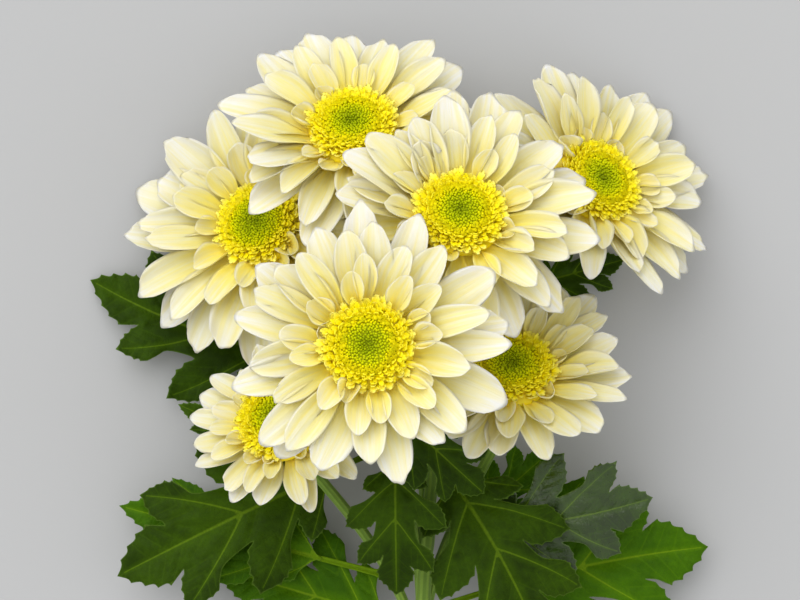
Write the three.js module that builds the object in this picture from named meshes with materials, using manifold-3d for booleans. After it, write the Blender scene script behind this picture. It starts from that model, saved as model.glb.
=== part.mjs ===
// A cut stem of spray chrysanthemum with seven pale yellow double blooms, laid on its back. Millimetres, +Z up.
// The stem lies along Y with its cut end towards -Y, and the flowers look up towards +Z.
import * as THREE from "three";
import { mergeVertices } from "three/addons/utils/BufferGeometryUtils.js";
import Module from "manifold-3d";

const wasm = await Module();
wasm.setup();

// Driving dimensions: the drawing frame has its origin under the middle of the flower head.
const REST_POINT = new THREE.Vector3(-0.5, -141.5, 0); // bottom centre of the whole spray, in the drawing frame
const STEM_END_Y = -360;
const PEDUNCLE_RADIUS = 1.7;
const PEDUNCLE_NECK = 24; // length over which a flower branch straightens behind its bloom
const GAP = 0.3; // between pieces that touch
const SLIVER = 0.1;

// One bloom, about its disc's centre. Petals are ranked from the outermost, 0, to the innermost.
const PETALS = 46;
const OUTER_PETALS = 19; // the solid has all of these
const INNER_STEP = 4; // and one in four of the shorter ones
const PETAL_THICKNESS = 1.0;
const PETAL_WIDTH = 11.6;
const GOLDEN_ANGLE = 137.508;
const DISC_RADIUS = 8.8;
const RING_RADIUS = 11.4;
const RING_REACH = 13.9; // to the tips of its florets
const RING_TOP = 4.4;
const RING_FLORETS = 12;
const CORE_TOP = -0.8;
const CALYX_TOP = -7.9;
const CALYX_BOTTOM = -13.2;

// Blooms from the back of the spray to the front. Centre of the disc, tilt of the face from +Z and the
// direction that it tilts towards, reach of the longest petals, how far the outer petals lift out of the face's
// plane and those of the lower side sag behind it, and spin. A flower branch leaves the main stem at the
// height `branch` along Y, and the middle bloom stands on the stem's end.
const BLOOMS = [
  { name: "left", centre: [-40.5, 22, 24], tilt: 30, towards: 135, reach: 43, lift: 10, sag: 16, spin: 29, seed: 1, branch: -88 },
  { name: "right", centre: [57, 34, 27], tilt: 39, towards: 40, reach: 38.5, lift: 10, sag: -5, spin: 40, seed: 2, branch: -80 },
  { name: "lower_left", centre: [-33.5, -33.5, 46], tilt: 34, towards: 113, reach: 27, lift: 5, sag: 7, spin: 190, seed: 73, branch: -112 },
  { name: "lower_right", centre: [31.5, -19, 44], tilt: 39, towards: 90, reach: 34.5, lift: 15, sag: 5, spin: 75, seed: 249, branch: -104 },
  { name: "top", centre: [-13.5, 49.5, 39], tilt: 36, towards: 96, reach: 38.5, lift: 2, sag: 8, spin: 205, seed: 5, branch: -70 },
  { name: "front", centre: [-8.7, -12.3, 84], tilt: 10, towards: 90, reach: 39, lift: 5, sag: -4, spin: 95, seed: 28, branch: -96 },
  { name: "middle", centre: [16.5, 24, 64], tilt: 29, towards: 80, reach: 38.5, lift: 6, sag: 22, spin: 325, seed: 34, branch: null },
];

// A petal takes the first of these ways that brings it clear of the stems, of the other blooms' middles and
// of the petals behind: [bend at its root, turn about the bloom, share of its length]. It is tested between
// points this far apart.
const BENDS = [0, -5, 5, -10, 10, -15, 15, -20, 20, -26, 26];
const WAYS = [1, 0.88, 0.76, 0.6].flatMap((share) =>
  [0, 6, -6].flatMap((turn) => BENDS.map((bend) => [bend, turn, share])),
);
const STEEPEST = 60;
const CLEAR = 4.0;
const TEST_ALONG = [0.3, 0.4, 0.5, 0.6, 0.7, 0.8, 0.9, 1];
const TEST_ACROSS = [-0.9, -0.3, 0.3, 0.9];

// The main stem's line and radius.
const STEM_POINTS = [
  [-2, STEM_END_Y, 3.1],
  [3, -280, 3.4],
  [6, -200, 6],
  [6, -130, 12],
  [7, -80, 18],
  [10, -40, 24],
];
const STEM_RADIUS = [3.1, 1.8];

// Leaves: the stem that each grows on and how far along it, where its tip is in the drawing plane, rise at the
// foot and bend along the leaf, roll about the midrib, sideways bow, breadth, and share of its length that is
// stalk.
const LEAVES = [
  { name: "upper_left", on: "left", at: 0.5, tip: [-91, 6], rise: 3.2, bend: -14, roll: 8, bow: 0.05, wide: 0.92, stalk: 0.2, seed: 11 },
  { name: "small_left", on: "lower_left", at: 0.86, tip: [-64, -30], rise: -6, bend: -4, roll: 0, bow: 0, wide: 0.7, stalk: 0.2, seed: 24 },
  { name: "left_front", on: "left", at: 0.33, tip: [-82, -80], rise: 18, bend: -30, roll: 6, bow: -0.01, wide: 1.05, stalk: 0.2, seed: 12 },
  { name: "left_back", on: "lower_left", at: 0.34, tip: [-82, -60], rise: 0, bend: -10, roll: 4, bow: 0, wide: 0.72, stalk: 0.22, seed: 13 },
  { name: "left_low", on: "lower_left", at: 0.18, tip: [-54, -78], rise: -6, bend: -4, roll: 0, bow: 0, wide: 1.1, stalk: 0.08, seed: 14 },
  { name: "hanging", on: "front", at: 0.52, tip: [-1, -84], rise: 26, bend: -70, roll: 8, bow: 0, wide: 1.02, stalk: 0.08, seed: 15 },
  { name: "hanging_right", on: "front", at: 0.67, tip: [24, -55], rise: 12, bend: -50, roll: 0, bow: 0, wide: 1.05, stalk: 0.08, seed: 25 },
  { name: "right_front", on: "main", at: -44, tip: [42, -103], rise: 26, bend: -50, roll: -6, bow: 0.04, wide: 1.12, stalk: 0.08, seed: 16 },
  { name: "right_gloss", on: "main", at: -66, tip: [73, -57], rise: 13, bend: -26, roll: 14, bow: -0.04, wide: 1.1, stalk: 0.22, seed: 17 },
  { name: "right_far", on: "lower_right", at: 0.14, tip: [90, -72], rise: -3, bend: -3, roll: -4, bow: 0.03, wide: 1.15, stalk: 0.2, seed: 18 },
  { name: "right_back", on: "lower_right", at: 0.36, tip: [44, -44], rise: -8, bend: -8, roll: 0, bow: 0, wide: 1, stalk: 0.15, seed: 19 },
  { name: "upper_right", on: "right", at: 0.62, tip: [66, 12], rise: -8.6, bend: -6, roll: -6, bow: 0, wide: 1, stalk: 0.16, seed: 20 },
  { name: "stem_upper", on: "main", at: -134, tip: [-62, -190], rise: 16, bend: -24, roll: 4, bow: 0.04, wide: 1, stalk: 0.2, seed: 21 },
  { name: "stem_middle", on: "main", at: -168, tip: [82, -206], rise: 14, bend: -22, roll: -4, bow: -0.04, wide: 1, stalk: 0.2, seed: 22 },
  { name: "stem_lower", on: "main", at: -206, tip: [-66, -254], rise: 12, bend: -18, roll: 4, bow: 0.04, wide: 1, stalk: 0.2, seed: 23 },
];
const LEAF_EDGE_THICKNESS = 0.7;
const LEAF_RIB_DEPTH = 1.7;
const STALK_HALF = 0.9; // from a stalk's middle to its side, less on leaves under 60 mm
// Lobes on each side: place of the lobe's root on the midrib, angle from it, length and half width, all but
// the angle as shares of the blade's length.
const LOBES = [
  [0.08, 62, 0.24, 0.07],
  [0.22, 50, 0.41, 0.11],
  [0.48, 41, 0.37, 0.1],
];

const CREAM = new THREE.MeshStandardMaterial({ color: 0xf3eec0, roughness: 0.7, metalness: 0, flatShading: true });
const YELLOW = new THREE.MeshStandardMaterial({ color: 0xf2d51e, roughness: 0.7, metalness: 0, flatShading: true });
const EYE_GREEN = new THREE.MeshStandardMaterial({ color: 0x97ab1c, roughness: 0.8, metalness: 0, flatShading: true });
const LEAF_GREEN = new THREE.MeshStandardMaterial({ color: 0x2f5210, roughness: 0.5, metalness: 0, flatShading: true });
const STEM_GREEN = new THREE.MeshStandardMaterial({ color: 0x5d7a2c, roughness: 0.6, metalness: 0, flatShading: true });

const { degToRad, lerp } = THREE.MathUtils;

// A repeatable draw between -1 and 1.
function draw(seed, index) {
  const wave = Math.sin(seed * 127.1 + index * 311.7) * 43758.5453;
  return 2 * (wave - Math.floor(wave)) - 1;
}

// Solids

// A closed solid from its vertices and triangles.
function solidOf(vertices, triangles) {
  return new wasm.Manifold(
    new wasm.Mesh({
      numProp: 3,
      vertProperties: new Float32Array(vertices.flatMap((p) => [p.x, p.y, p.z])),
      triVerts: new Uint32Array(triangles.flat()),
    }),
  );
}

// A closed solid from a three.js geometry.
function solidOfGeometry(geometry) {
  geometry.deleteAttribute("normal");
  geometry.deleteAttribute("uv");
  const merged = mergeVertices(geometry, 1e-4);
  return new wasm.Manifold(
    new wasm.Mesh({
      numProp: 3,
      vertProperties: merged.attributes.position.array,
      triVerts: new Uint32Array(merged.index.array),
    }),
  );
}

// A named mesh from a solid, kept to its largest body, with slivers under the tolerance taken out.
function meshOf(solid, name, material) {
  const body = solid
    .simplify(SLIVER)
    .decompose()
    .sort((a, b) => b.volume() - a.volume())[0];
  const made = body.getMesh();
  const geometry = new THREE.BufferGeometry();
  geometry.setAttribute("position", new THREE.BufferAttribute(made.vertProperties, 3));
  geometry.setIndex(new THREE.BufferAttribute(made.triVerts, 1));
  const mesh = new THREE.Mesh(geometry, material);
  mesh.name = name;
  return mesh;
}

// Joins rings of vertices into a closed skin. Each ring is a list of points, and a ring of one point is a tip.
function skin(rings) {
  const vertices = rings.flat();
  const triangles = [];
  const starts = [];
  let count = 0;
  for (const ring of rings) {
    starts.push(count);
    count += ring.length;
  }
  for (let k = 0; k + 1 < rings.length; k++) {
    const [a, b] = [starts[k], starts[k + 1]];
    const [na, nb] = [rings[k].length, rings[k + 1].length];
    const sides = Math.max(na, nb);
    for (let j = 0; j < sides; j++) {
      const next = (j + 1) % sides;
      if (na > 1) triangles.push([a + j, a + next, nb > 1 ? b + next : b]);
      if (nb > 1) triangles.push([na > 1 ? a + j : a, b + next, b + j]);
    }
  }
  for (const [ring, start, flip] of [
    [rings[0], starts[0], true],
    [rings.at(-1), starts.at(-1), false],
  ]) {
    for (let j = 1; j + 1 < ring.length; j++) {
      triangles.push(flip ? [start, start + j + 1, start + j] : [start, start + j, start + j + 1]);
    }
  }
  return solidOf(vertices, triangles);
}

// A turned solid with relief: the profile of [radius, height] runs up the outside from axis to axis, or closes
// on itself, and relief(row, segment) gives the radius and height that are added there.
function turned(profile, segments, relief = () => [0, 0]) {
  const geometry = new THREE.LatheGeometry(profile.map((p) => new THREE.Vector2(...p)), segments);
  const position = geometry.attributes.position;
  for (let j = 0; j <= segments; j++) {
    profile.forEach(([radius, height], row) => {
      if (radius === 0) return;
      const [dr, dz] = relief(row, j % segments);
      const angle = (2 * Math.PI * j) / segments;
      position.setXYZ(
        j * profile.length + row,
        (radius + dr) * Math.sin(angle),
        height + dz,
        (radius + dr) * Math.cos(angle),
      );
    });
  }
  return solidOfGeometry(geometry.rotateX(Math.PI / 2));
}

// A round section swept along a curve.
function tube(curve, radius, steps, sides) {
  const section = new THREE.Shape(
    Array.from({ length: sides }, (_, j) => {
      const angle = (2 * Math.PI * j) / sides;
      return new THREE.Vector2(radius * Math.cos(angle), radius * Math.sin(angle));
    }),
  );
  return solidOfGeometry(new THREE.ExtrudeGeometry(section, { steps, extrudePath: curve, bevelEnabled: false }));
}

// A tube whose radius runs from the first value to the second.
function taperedTube(curve, [startRadius, endRadius], steps, sides) {
  const frames = curve.computeFrenetFrames(steps, false);
  const rings = [];
  for (let k = 0; k <= steps; k++) {
    const centre = curve.getPointAt(k / steps);
    const radius = lerp(startRadius, endRadius, k / steps);
    rings.push(
      Array.from({ length: sides }, (_, j) => {
        const angle = (2 * Math.PI * j) / sides;
        return centre
          .clone()
          .addScaledVector(frames.normals[k], radius * Math.cos(angle))
          .addScaledVector(frames.binormals[k], radius * Math.sin(angle));
      }),
    );
  }
  return skin(rings);
}

// Petals

// Share of a petal's full half width, from root to tip.
function petalProfile(u) {
  const opening = 0.3 + 0.7 * Math.sin((Math.min(u / 0.62, 1) * Math.PI) / 2) ** 1.2;
  const tip = Math.max(0, (u - 0.5) / 0.5);
  return opening * (1 - tip ** 2.6) ** 0.6;
}

// The shape of petal number i of a bloom, before it bends clear of its neighbours.
function petalShape(bloom, i) {
  const rank = i / (PETALS - 1);
  const azimuth = degToRad(bloom.spin + i * GOLDEN_ANGLE + 4 * draw(bloom.seed, i));
  const facing = Math.max(0, -Math.sin(azimuth));
  return {
    rank,
    azimuth,
    rootRadius: lerp(7.4, 11.7, rank),
    rootHeight: lerp(-5.6, -2.1, rank),
    length: (bloom.reach - 7) * (1 - 0.78 * rank ** 1.7) * (1 + 0.07 * draw(bloom.seed, i + 100)),
    width: PETAL_WIDTH * (bloom.reach / 40) * (1 - 0.5 * rank ** 1.6) * (1 + 0.1 * draw(bloom.seed, i + 200)),
    rise: 3 + 56 * rank ** 1.35 + (bloom.lift - bloom.sag * facing) * (1 - rank) + 1.5 * draw(bloom.seed, i + 300),
    curl: -6 - 20 * rank + 5 * draw(bloom.seed, i + 400),
    cup: 0.16 + 0.34 * rank,
    roll: degToRad(7 * draw(bloom.seed, i + 500)),
    bow: 0.06 * draw(bloom.seed, i + 600),
  };
}

// The point of a petal at u from root to tip and v across, lifted off its middle surface, in the bloom's frame.
function petalPoint(petal, u, v, lift) {
  const start = degToRad(petal.rise);
  const curl = degToRad(petal.curl);
  const now = start + curl * u;
  const radius = petal.rootRadius + (petal.length * (Math.sin(now) - Math.sin(start))) / curl;
  const height = petal.rootHeight - (petal.length * (Math.cos(now) - Math.cos(start))) / curl;
  const half = (petal.width / 2) * petalProfile(u);
  const roll = petal.roll * u;
  const across = v * half;
  const up = petal.cup * half * v * v + lift;
  const side = across * Math.cos(roll) - up * Math.sin(roll) + petal.bow * petal.length * u * u;
  const normal = across * Math.sin(roll) + up * Math.cos(roll);
  return new THREE.Vector3(
    radius - normal * Math.sin(now),
    side,
    height + normal * Math.cos(now),
  ).applyAxisAngle(new THREE.Vector3(0, 0, 1), petal.azimuth);
}

// Carries a point from a bloom's frame, whose +Z is the way that its face looks, to the drawing frame.
function toDrawing(bloom, point) {
  const towards = degToRad(bloom.towards);
  const hinge = new THREE.Vector3(-Math.sin(towards), Math.cos(towards), 0);
  return point
    .clone()
    .applyAxisAngle(hinge, degToRad(bloom.tilt))
    .add(new THREE.Vector3(...bloom.centre));
}

function testPoints(bloom, petal) {
  return TEST_ALONG.flatMap((u) =>
    TEST_ACROSS.map((v) => toDrawing(bloom, petalPoint(petal, u, v, 0))),
  );
}

function leastDistance(points, taken) {
  let least = Infinity;
  for (const p of points) for (const q of taken) least = Math.min(least, p.distanceToSquared(q));
  return Math.sqrt(least);
}

// The petals of every bloom, each set clear of the stems and of the blooms that were set before it.
function arrangePetals(blooms, stemPoints) {
  const taken = [...stemPoints];
  return blooms.map((bloom) => {
    const centre = new THREE.Vector3(...bloom.centre);
    const others = blooms.filter((other) => other !== bloom).flatMap(middlePoints);
    const near = [...taken, ...others].filter((p) => p.distanceTo(centre) < bloom.reach + 2 * CLEAR);
    const petals = Array.from({ length: PETALS }, (_, i) => {
      const shape = petalShape(bloom, i);
      let best = null;
      for (const [bend, turn, share] of WAYS) {
        if (bend > 0 && shape.rise + bend > STEEPEST) continue;
        const petal = {
          ...shape,
          rise: shape.rise + bend,
          azimuth: shape.azimuth + degToRad(turn),
          length: shape.length * share,
        };
        const room = leastDistance(testPoints(bloom, petal), near);
        if (!best || room > best.room) best = { petal, room };
        if (room > CLEAR) break;
      }
      return best.petal;
    });
    taken.push(...petals.flatMap((petal) => testPoints(bloom, petal)));
    return petals;
  });
}

// One petal as a closed blade with a ridge on each face.
function petalBlade(petal) {
  const stations = petal.rank < 0.45 ? [0, 0.32, 0.62, 0.88] : [0, 0.45, 0.85];
  const half = PETAL_THICKNESS / 2;
  const rings = stations.map((u) => [
    petalPoint(petal, u, -1, 0),
    petalPoint(petal, u, 0, -half),
    petalPoint(petal, u, 1, 0),
    petalPoint(petal, u, 0, half),
  ]);
  return skin([...rings, [petalPoint(petal, 1, 0, 0)]]);
}

// Petals and the receptacle that they grow from, in the bloom's frame.
function petalsSolid(petals) {
  const core = turned(
    [
      [0, -7.5],
      [6.2, -7.5],
      [10, -5],
      [12.8, -2],
      [12.8, CORE_TOP],
      [0, CORE_TOP],
    ],
    12,
  );
  const kept = petals.filter((_, i) => i < OUTER_PETALS || i % INNER_STEP === 0);
  return wasm.Manifold.union([core, ...kept.map(petalBlade)]);
}

// The crown of short yellow florets round the disc, raised from a band by a zigzag.
function ringSolid(bloom) {
  const inner = DISC_RADIUS + GAP;
  const bottom = CORE_TOP + GAP;
  const profile = [
    [inner, bottom],
    [RING_RADIUS, bottom],
    [RING_RADIUS, 0.6],
    [RING_RADIUS - 1.2, 1.6],
    [inner, 1.2],
    [inner, bottom],
  ];
  return turned(profile, 2 * RING_FLORETS, (row, j) => {
    if (row !== 2 || j % 2) return [0, 0];
    const stretch = 1 + 0.25 * draw(bloom.seed, j + 800);
    return [(RING_REACH - RING_RADIUS) * stretch, (RING_TOP - 0.6) * stretch];
  });
}

// The green dome of disc florets: a low button with a dimple, studded by a zigzag relief.
function discSolid() {
  const bottom = CORE_TOP + GAP;
  const rim = DISC_RADIUS - 0.4;
  const profile = [
    [0, bottom],
    [rim, bottom],
    [rim, 1.4],
    [rim - 1.8, 3.1],
    [rim - 4.2, 3.6],
    [0, 2.6],
  ];
  return turned(profile, 12, (row, j) => {
    const studs = row > 1 ? 0.35 * ((row + j) % 2 ? 1 : -1) : 0;
    return [studs, studs];
  });
}

// The cup of bracts behind the bloom, its scales raised by a formula.
function calyxSolid() {
  const profile = [
    [0, CALYX_BOTTOM],
    [2.4, CALYX_BOTTOM],
    [5.4, -11.4],
    [7.6, CALYX_TOP],
    [0, CALYX_TOP],
  ];
  return turned(profile, 16, (row, j) => {
    const scale = row > 1 && row < 4 ? 0.5 * ((j + 2 * (row % 2)) % 4 < 2 ? 1 : -1) : 0;
    return [scale, 0];
  });
}

// Stem

const mainStem = new THREE.CatmullRomCurve3(STEM_POINTS.map((p) => new THREE.Vector3(...p)));

// How far along its curve the main stem reaches a height along Y.
function stemShareAt(y) {
  let [low, high] = [0, 1];
  for (let k = 0; k < 30; k++) {
    const middle = (low + high) / 2;
    if (mainStem.getPoint(middle).y < y) low = middle;
    else high = middle;
  }
  return low;
}

// The line of a flower branch, from the main stem to the back of its bloom.
function peduncle(bloom) {
  const end = toDrawing(bloom, new THREE.Vector3(0, 0, CALYX_BOTTOM - GAP));
  const neck = toDrawing(bloom, new THREE.Vector3(0, 0, CALYX_BOTTOM - PEDUNCLE_NECK));
  const start = bloom.branch === null ? mainStem.getPoint(1) : mainStem.getPoint(stemShareAt(bloom.branch));
  const ahead = start.clone().add(new THREE.Vector3(0, 0.42 * start.distanceTo(end), 0));
  return new THREE.CubicBezierCurve3(start, ahead, neck, end);
}

function stemSolid(blooms) {
  const trunk = taperedTube(mainStem, STEM_RADIUS, 20, 8);
  const branches = blooms.map((bloom) => tube(peduncle(bloom), PEDUNCLE_RADIUS, 11, 6));
  return wasm.Manifold.union([trunk, ...branches]);
}

// Points round the middle of a bloom, from its calyx to its ring, which other blooms keep clear of.
function middlePoints(bloom) {
  return [
    [6, -12],
    [8, -8],
    [10, -4],
    [11, 1],
    [4, 3],
  ].flatMap(([radius, height]) =>
    [0, 1, 2, 3, 4, 5, 6, 7].map((j) => {
      const angle = (Math.PI / 4) * j;
      return toDrawing(bloom, new THREE.Vector3(radius * Math.cos(angle), radius * Math.sin(angle), height));
    }),
  );
}

// Leaves

// One side of the blade's outline from stalk to tip, as shares of the blade's length.
function leafEdge() {
  const edge = [[0.02, 0.012]];
  for (const [root, angle, length, half] of LOBES) {
    const a = degToRad(angle);
    const at = (along, out) => [
      root + along * length * Math.cos(a) - out * half * Math.sin(a),
      along * length * Math.sin(a) + out * half * Math.cos(a),
    ];
    edge.push(at(0.6, 0.95), at(0.78, 1), at(0.82, 0.7), at(1, 0.1), at(0.8, -0.7), at(0.62, -0.9));
  }
  edge.push([0.78, 0.13], [0.84, 0.13], [0.86, 0.1], [0.94, 0.07], [0.955, 0.04]);
  return edge;
}

// The point of a leaf at x along the midrib and y across, as shares of the blade, sunk below its upper face.
function leafPoint(leaf, x, y, sink) {
  const blade = leaf.length * (1 - leaf.stalk);
  const along = leaf.length * leaf.stalk + x * blade;
  const share = Math.max(0, along / leaf.length);
  const start = degToRad(leaf.rise);
  const bend = degToRad(leaf.bend);
  const now = start + bend * share;
  const forward = (leaf.length * (Math.sin(now) - Math.sin(start))) / bend;
  const height = (-leaf.length * (Math.cos(now) - Math.cos(start))) / bend;
  const across = y * blade * leaf.wide;
  const wave = 0.035 * blade * Math.sin(9 * x + 3 * Math.sign(y) + leaf.seed) * Math.min(1, (y / 0.25) ** 2);
  const fold = 0.22 * Math.abs(across) - 0.9 * (across * across) / blade + wave - sink;
  const roll = degToRad(leaf.roll);
  const bow = 4 * leaf.bow * leaf.length * share * (1 - share);
  const side = across * Math.cos(roll) - fold * Math.sin(roll) + bow;
  const up = across * Math.sin(roll) + fold * Math.cos(roll);
  return new THREE.Vector3(forward - up * Math.sin(now), side, height + up * Math.cos(now))
    .applyAxisAngle(new THREE.Vector3(0, 0, 1), leaf.heading)
    .add(leaf.foot);
}

// A leaf with its foot just off its stem, its heading and its length worked out from where its tip is.
function plantLeaf(leaf) {
  const branch = BLOOMS.find((bloom) => bloom.name === leaf.on);
  const line = branch ? peduncle(branch) : mainStem;
  const share = branch ? leaf.at : stemShareAt(leaf.at);
  const at = line.getPoint(share);
  const radius = branch ? PEDUNCLE_RADIUS : lerp(...STEM_RADIUS, share);
  const heading = Math.atan2(leaf.tip[1] - at.y, leaf.tip[0] - at.x);
  const rise = degToRad(leaf.rise);
  const bend = degToRad(leaf.bend);
  const out = new THREE.Vector3(
    Math.cos(rise) * Math.cos(heading),
    Math.cos(rise) * Math.sin(heading),
    Math.sin(rise),
  );
  const slant = out.dot(line.getTangent(share));
  const half = STALK_HALF * Math.min(1, Math.hypot(leaf.tip[0] - at.x, leaf.tip[1] - at.y) / 60);
  const away = (radius + GAP + half * Math.abs(slant)) / Math.sqrt(1 - slant * slant);
  const foot = at.clone().addScaledVector(out, away);
  const distance = Math.hypot(leaf.tip[0] - foot.x, leaf.tip[1] - foot.y);
  return {
    ...leaf,
    foot,
    heading,
    length: (distance * bend) / (Math.sin(rise + bend) - Math.sin(rise)),
  };
}

// A leaf: both faces have the same triangles, and the underside drops to a rib along the middle.
function leafSolid(leaf) {
  const edge = leafEdge();
  const stalkStart = -leaf.stalk / (1 - leaf.stalk);
  const rib = [stalkStart, 0.02, 0.2, 0.4, 0.6, 0.8, 1].map((x) => new THREE.Vector2(x, 0));
  const flat = [...rib];
  const faces = [];
  const border = [0];
  for (const side of [1, -1]) {
    const first = flat.length;
    flat.push(new THREE.Vector2(stalkStart, 0.014 * side));
    for (const [x, y] of edge) flat.push(new THREE.Vector2(x, y * side));
    const rim = Array.from({ length: edge.length + 1 }, (_, k) => first + k);
    const loop = [...rib.keys(), ...rim.toReversed()];
    for (const [a, b, c] of THREE.ShapeUtils.triangulateShape(loop.map((k) => flat[k]), [])) {
      const face = [loop[a], loop[b], loop[c]];
      const turn = flat[face[1]].clone().sub(flat[face[0]]).cross(flat[face[2]].clone().sub(flat[face[0]]));
      faces.push(turn > 0 ? face : face.reverse());
    }
    if (side > 0) border.push(...rim, rib.length - 1);
    else border.push(...rim.toReversed());
  }
  const top = flat.map((p) => leafPoint(leaf, p.x, p.y, 0));
  const under = flat.map((p) => leafPoint(leaf, p.x, p.y, p.y === 0 ? LEAF_RIB_DEPTH : LEAF_EDGE_THICKNESS));
  const count = flat.length;
  const triangles = [...faces, ...faces.map(([a, b, c]) => [a + count, c + count, b + count])];
  border.forEach((a, k) => {
    const b = border[(k + 1) % border.length];
    triangles.push([a, b, b + count], [a, b + count, a + count]);
  });
  return solidOf([...top, ...under], triangles);
}

// Assembly

const spray = new THREE.Group();
spray.name = "chrysanthemum_spray";
spray.position.copy(REST_POINT).negate();

spray.add(meshOf(stemSolid(BLOOMS), "stem", STEM_GREEN));

const stemPoints = BLOOMS.flatMap((bloom) => peduncle(bloom).getPoints(24));
const arranged = arrangePetals(BLOOMS, stemPoints);
BLOOMS.forEach((bloom, k) => {
  const towards = degToRad(bloom.towards);
  const head = new THREE.Group();
  head.position.set(...bloom.centre);
  head.quaternion.setFromAxisAngle(
    new THREE.Vector3(-Math.sin(towards), Math.cos(towards), 0),
    degToRad(bloom.tilt),
  );
  head.add(
    meshOf(petalsSolid(arranged[k]), `${bloom.name}_petals`, CREAM),
    meshOf(ringSolid(bloom), `${bloom.name}_ring`, YELLOW),
    meshOf(discSolid(), `${bloom.name}_disc`, EYE_GREEN),
    meshOf(calyxSolid(), `${bloom.name}_calyx`, STEM_GREEN),
  );
  spray.add(head);
});

for (const leaf of LEAVES.map(plantLeaf)) spray.add(meshOf(leafSolid(leaf), `leaf_${leaf.name}`, LEAF_GREEN));

export default spray;
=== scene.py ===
"""Looks for a cut spray of pale yellow double chrysanthemums that lies on its back.

Sizes are in millimetres in the drawing frame of the spray, whose origin is under the middle of the flower
head, until a piece's mesh is made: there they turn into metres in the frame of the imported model. Colours are
given on the 0 to 255 scale of a screen.
"""

import sys

import logging
import math
from dataclasses import dataclass, field
from enum import Enum
from typing import Callable, Sequence, Union

import bpy
import numpy as np
from mathutils import Matrix, Vector
from mathutils.geometry import delaunay_2d_cdt


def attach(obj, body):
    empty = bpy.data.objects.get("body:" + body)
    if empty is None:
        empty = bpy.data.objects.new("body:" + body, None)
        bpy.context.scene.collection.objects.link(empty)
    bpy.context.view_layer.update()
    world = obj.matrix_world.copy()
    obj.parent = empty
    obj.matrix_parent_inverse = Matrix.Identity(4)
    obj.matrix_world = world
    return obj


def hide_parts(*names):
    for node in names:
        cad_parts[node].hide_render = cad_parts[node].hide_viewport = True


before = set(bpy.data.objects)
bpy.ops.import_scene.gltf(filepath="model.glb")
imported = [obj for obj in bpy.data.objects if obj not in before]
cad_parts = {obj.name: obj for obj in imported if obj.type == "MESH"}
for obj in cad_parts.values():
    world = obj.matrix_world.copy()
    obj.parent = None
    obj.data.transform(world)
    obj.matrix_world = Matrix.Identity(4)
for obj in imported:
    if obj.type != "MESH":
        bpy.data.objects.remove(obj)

LOG = logging.getLogger("spray")
Array = np.ndarray
Source = Union[bpy.types.NodeSocket, float, tuple]
Lobe = tuple[float, float, float, float]
Line = tuple[Array, float, float]

REST_POINT = np.array([-0.5, -141.5, 0.0])
GOLDEN_ANGLE = 137.508
MM_PER_METRE = 1000


class Age(Enum):
    """How a leaf's upper face looks."""

    MATURE = "mature"
    YOUNG = "young"
    GLOSSY = "glossy"


class Slot(Enum):
    """The record's material slots."""

    PETALS = "petals"
    RING = "ring"
    DISC = "disc"
    CALYX = "calyx"
    STEM = "stem"
    LEAF = "leaf"


def draw(seed: float, index: Union[float, Array]) -> Array:
    """A repeatable draw between -1 and 1 for each index."""
    wave = np.sin(seed * 127.1 + np.asarray(index, float) * 311.7) * 43758.5453
    return 2 * (wave - np.floor(wave)) - 1


def linear(tint: Source) -> Source:
    """Turns a screen colour into the linear values that a shader takes.

    Args:
        tint: Red, green and blue from 0 to 255, or a socket that carries a colour.

    Returns:
        The linear colour with full alpha, or the socket as it is.
    """
    if not isinstance(tint, tuple):
        return tint
    parts = [value / 255 for value in tint]
    return (*[part / 12.92 if part <= 0.04045 else ((part + 0.055) / 1.055) ** 2.4 for part in parts], 1.0)


def smooth_step(value: Array, low: float, high: float) -> Array:
    """Rises smoothly from 0 at low to 1 at high."""
    share = np.clip((value - low) / (high - low), 0, 1)
    return share * share * (3 - 2 * share)


def run_along(line: Array) -> Array:
    """How far along a line each of its points lies."""
    return np.concatenate([[0], np.cumsum(np.linalg.norm(np.diff(line, axis=0), axis=1))])


def without_loops(path: Array, ahead: int = 60) -> Array:
    """Cuts off the small loops in which a line crosses itself.

    Args:
        path: The line's points in order.
        ahead: How many points further on a crossing is looked for.

    Returns:
        The points that are left, with one at each crossing.
    """
    kept = [path[0]]
    k = 0
    while k < len(path) - 1:
        start, run = kept[-1], path[k + 1] - kept[-1]
        following = path[k + 2 : k + 2 + ahead]
        runs = np.diff(following, axis=0)
        offs = following[:-1] - start
        base = run[0] * runs[:, 1] - run[1] * runs[:, 0]
        base = np.where(np.abs(base) < 1e-15, 1e-15, base)
        here = (offs[:, 0] * runs[:, 1] - offs[:, 1] * runs[:, 0]) / base
        there = (offs[:, 0] * run[1] - offs[:, 1] * run[0]) / base
        crossed = np.nonzero((here > 1e-6) & (here < 1) & (there > 0) & (there < 1))[0]
        if len(crossed):
            last = int(crossed[-1])
            kept.append(start + here[last] * run)
            k += 2 + last
        else:
            kept.append(path[k + 1])
            k += 1
    return np.array(kept)


def inside(points: Array, outline: Array) -> Array:
    """Tells which points lie within a closed outline.

    Args:
        points: Points in the plane, one row each.
        outline: The outline's corners in order.

    Returns:
        One truth value for each point.
    """
    within = np.zeros(len(points), bool)
    for start, end in zip(outline, np.roll(outline, -1, axis=0)):
        crossed = (start[1] > points[:, 1]) != (end[1] > points[:, 1])
        if start[1] != end[1]:
            at = start[0] + (points[:, 1] - start[1]) * (end[0] - start[0]) / (end[1] - start[1])
            within ^= crossed & (points[:, 0] < at)
    return within


# Shader building


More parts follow.
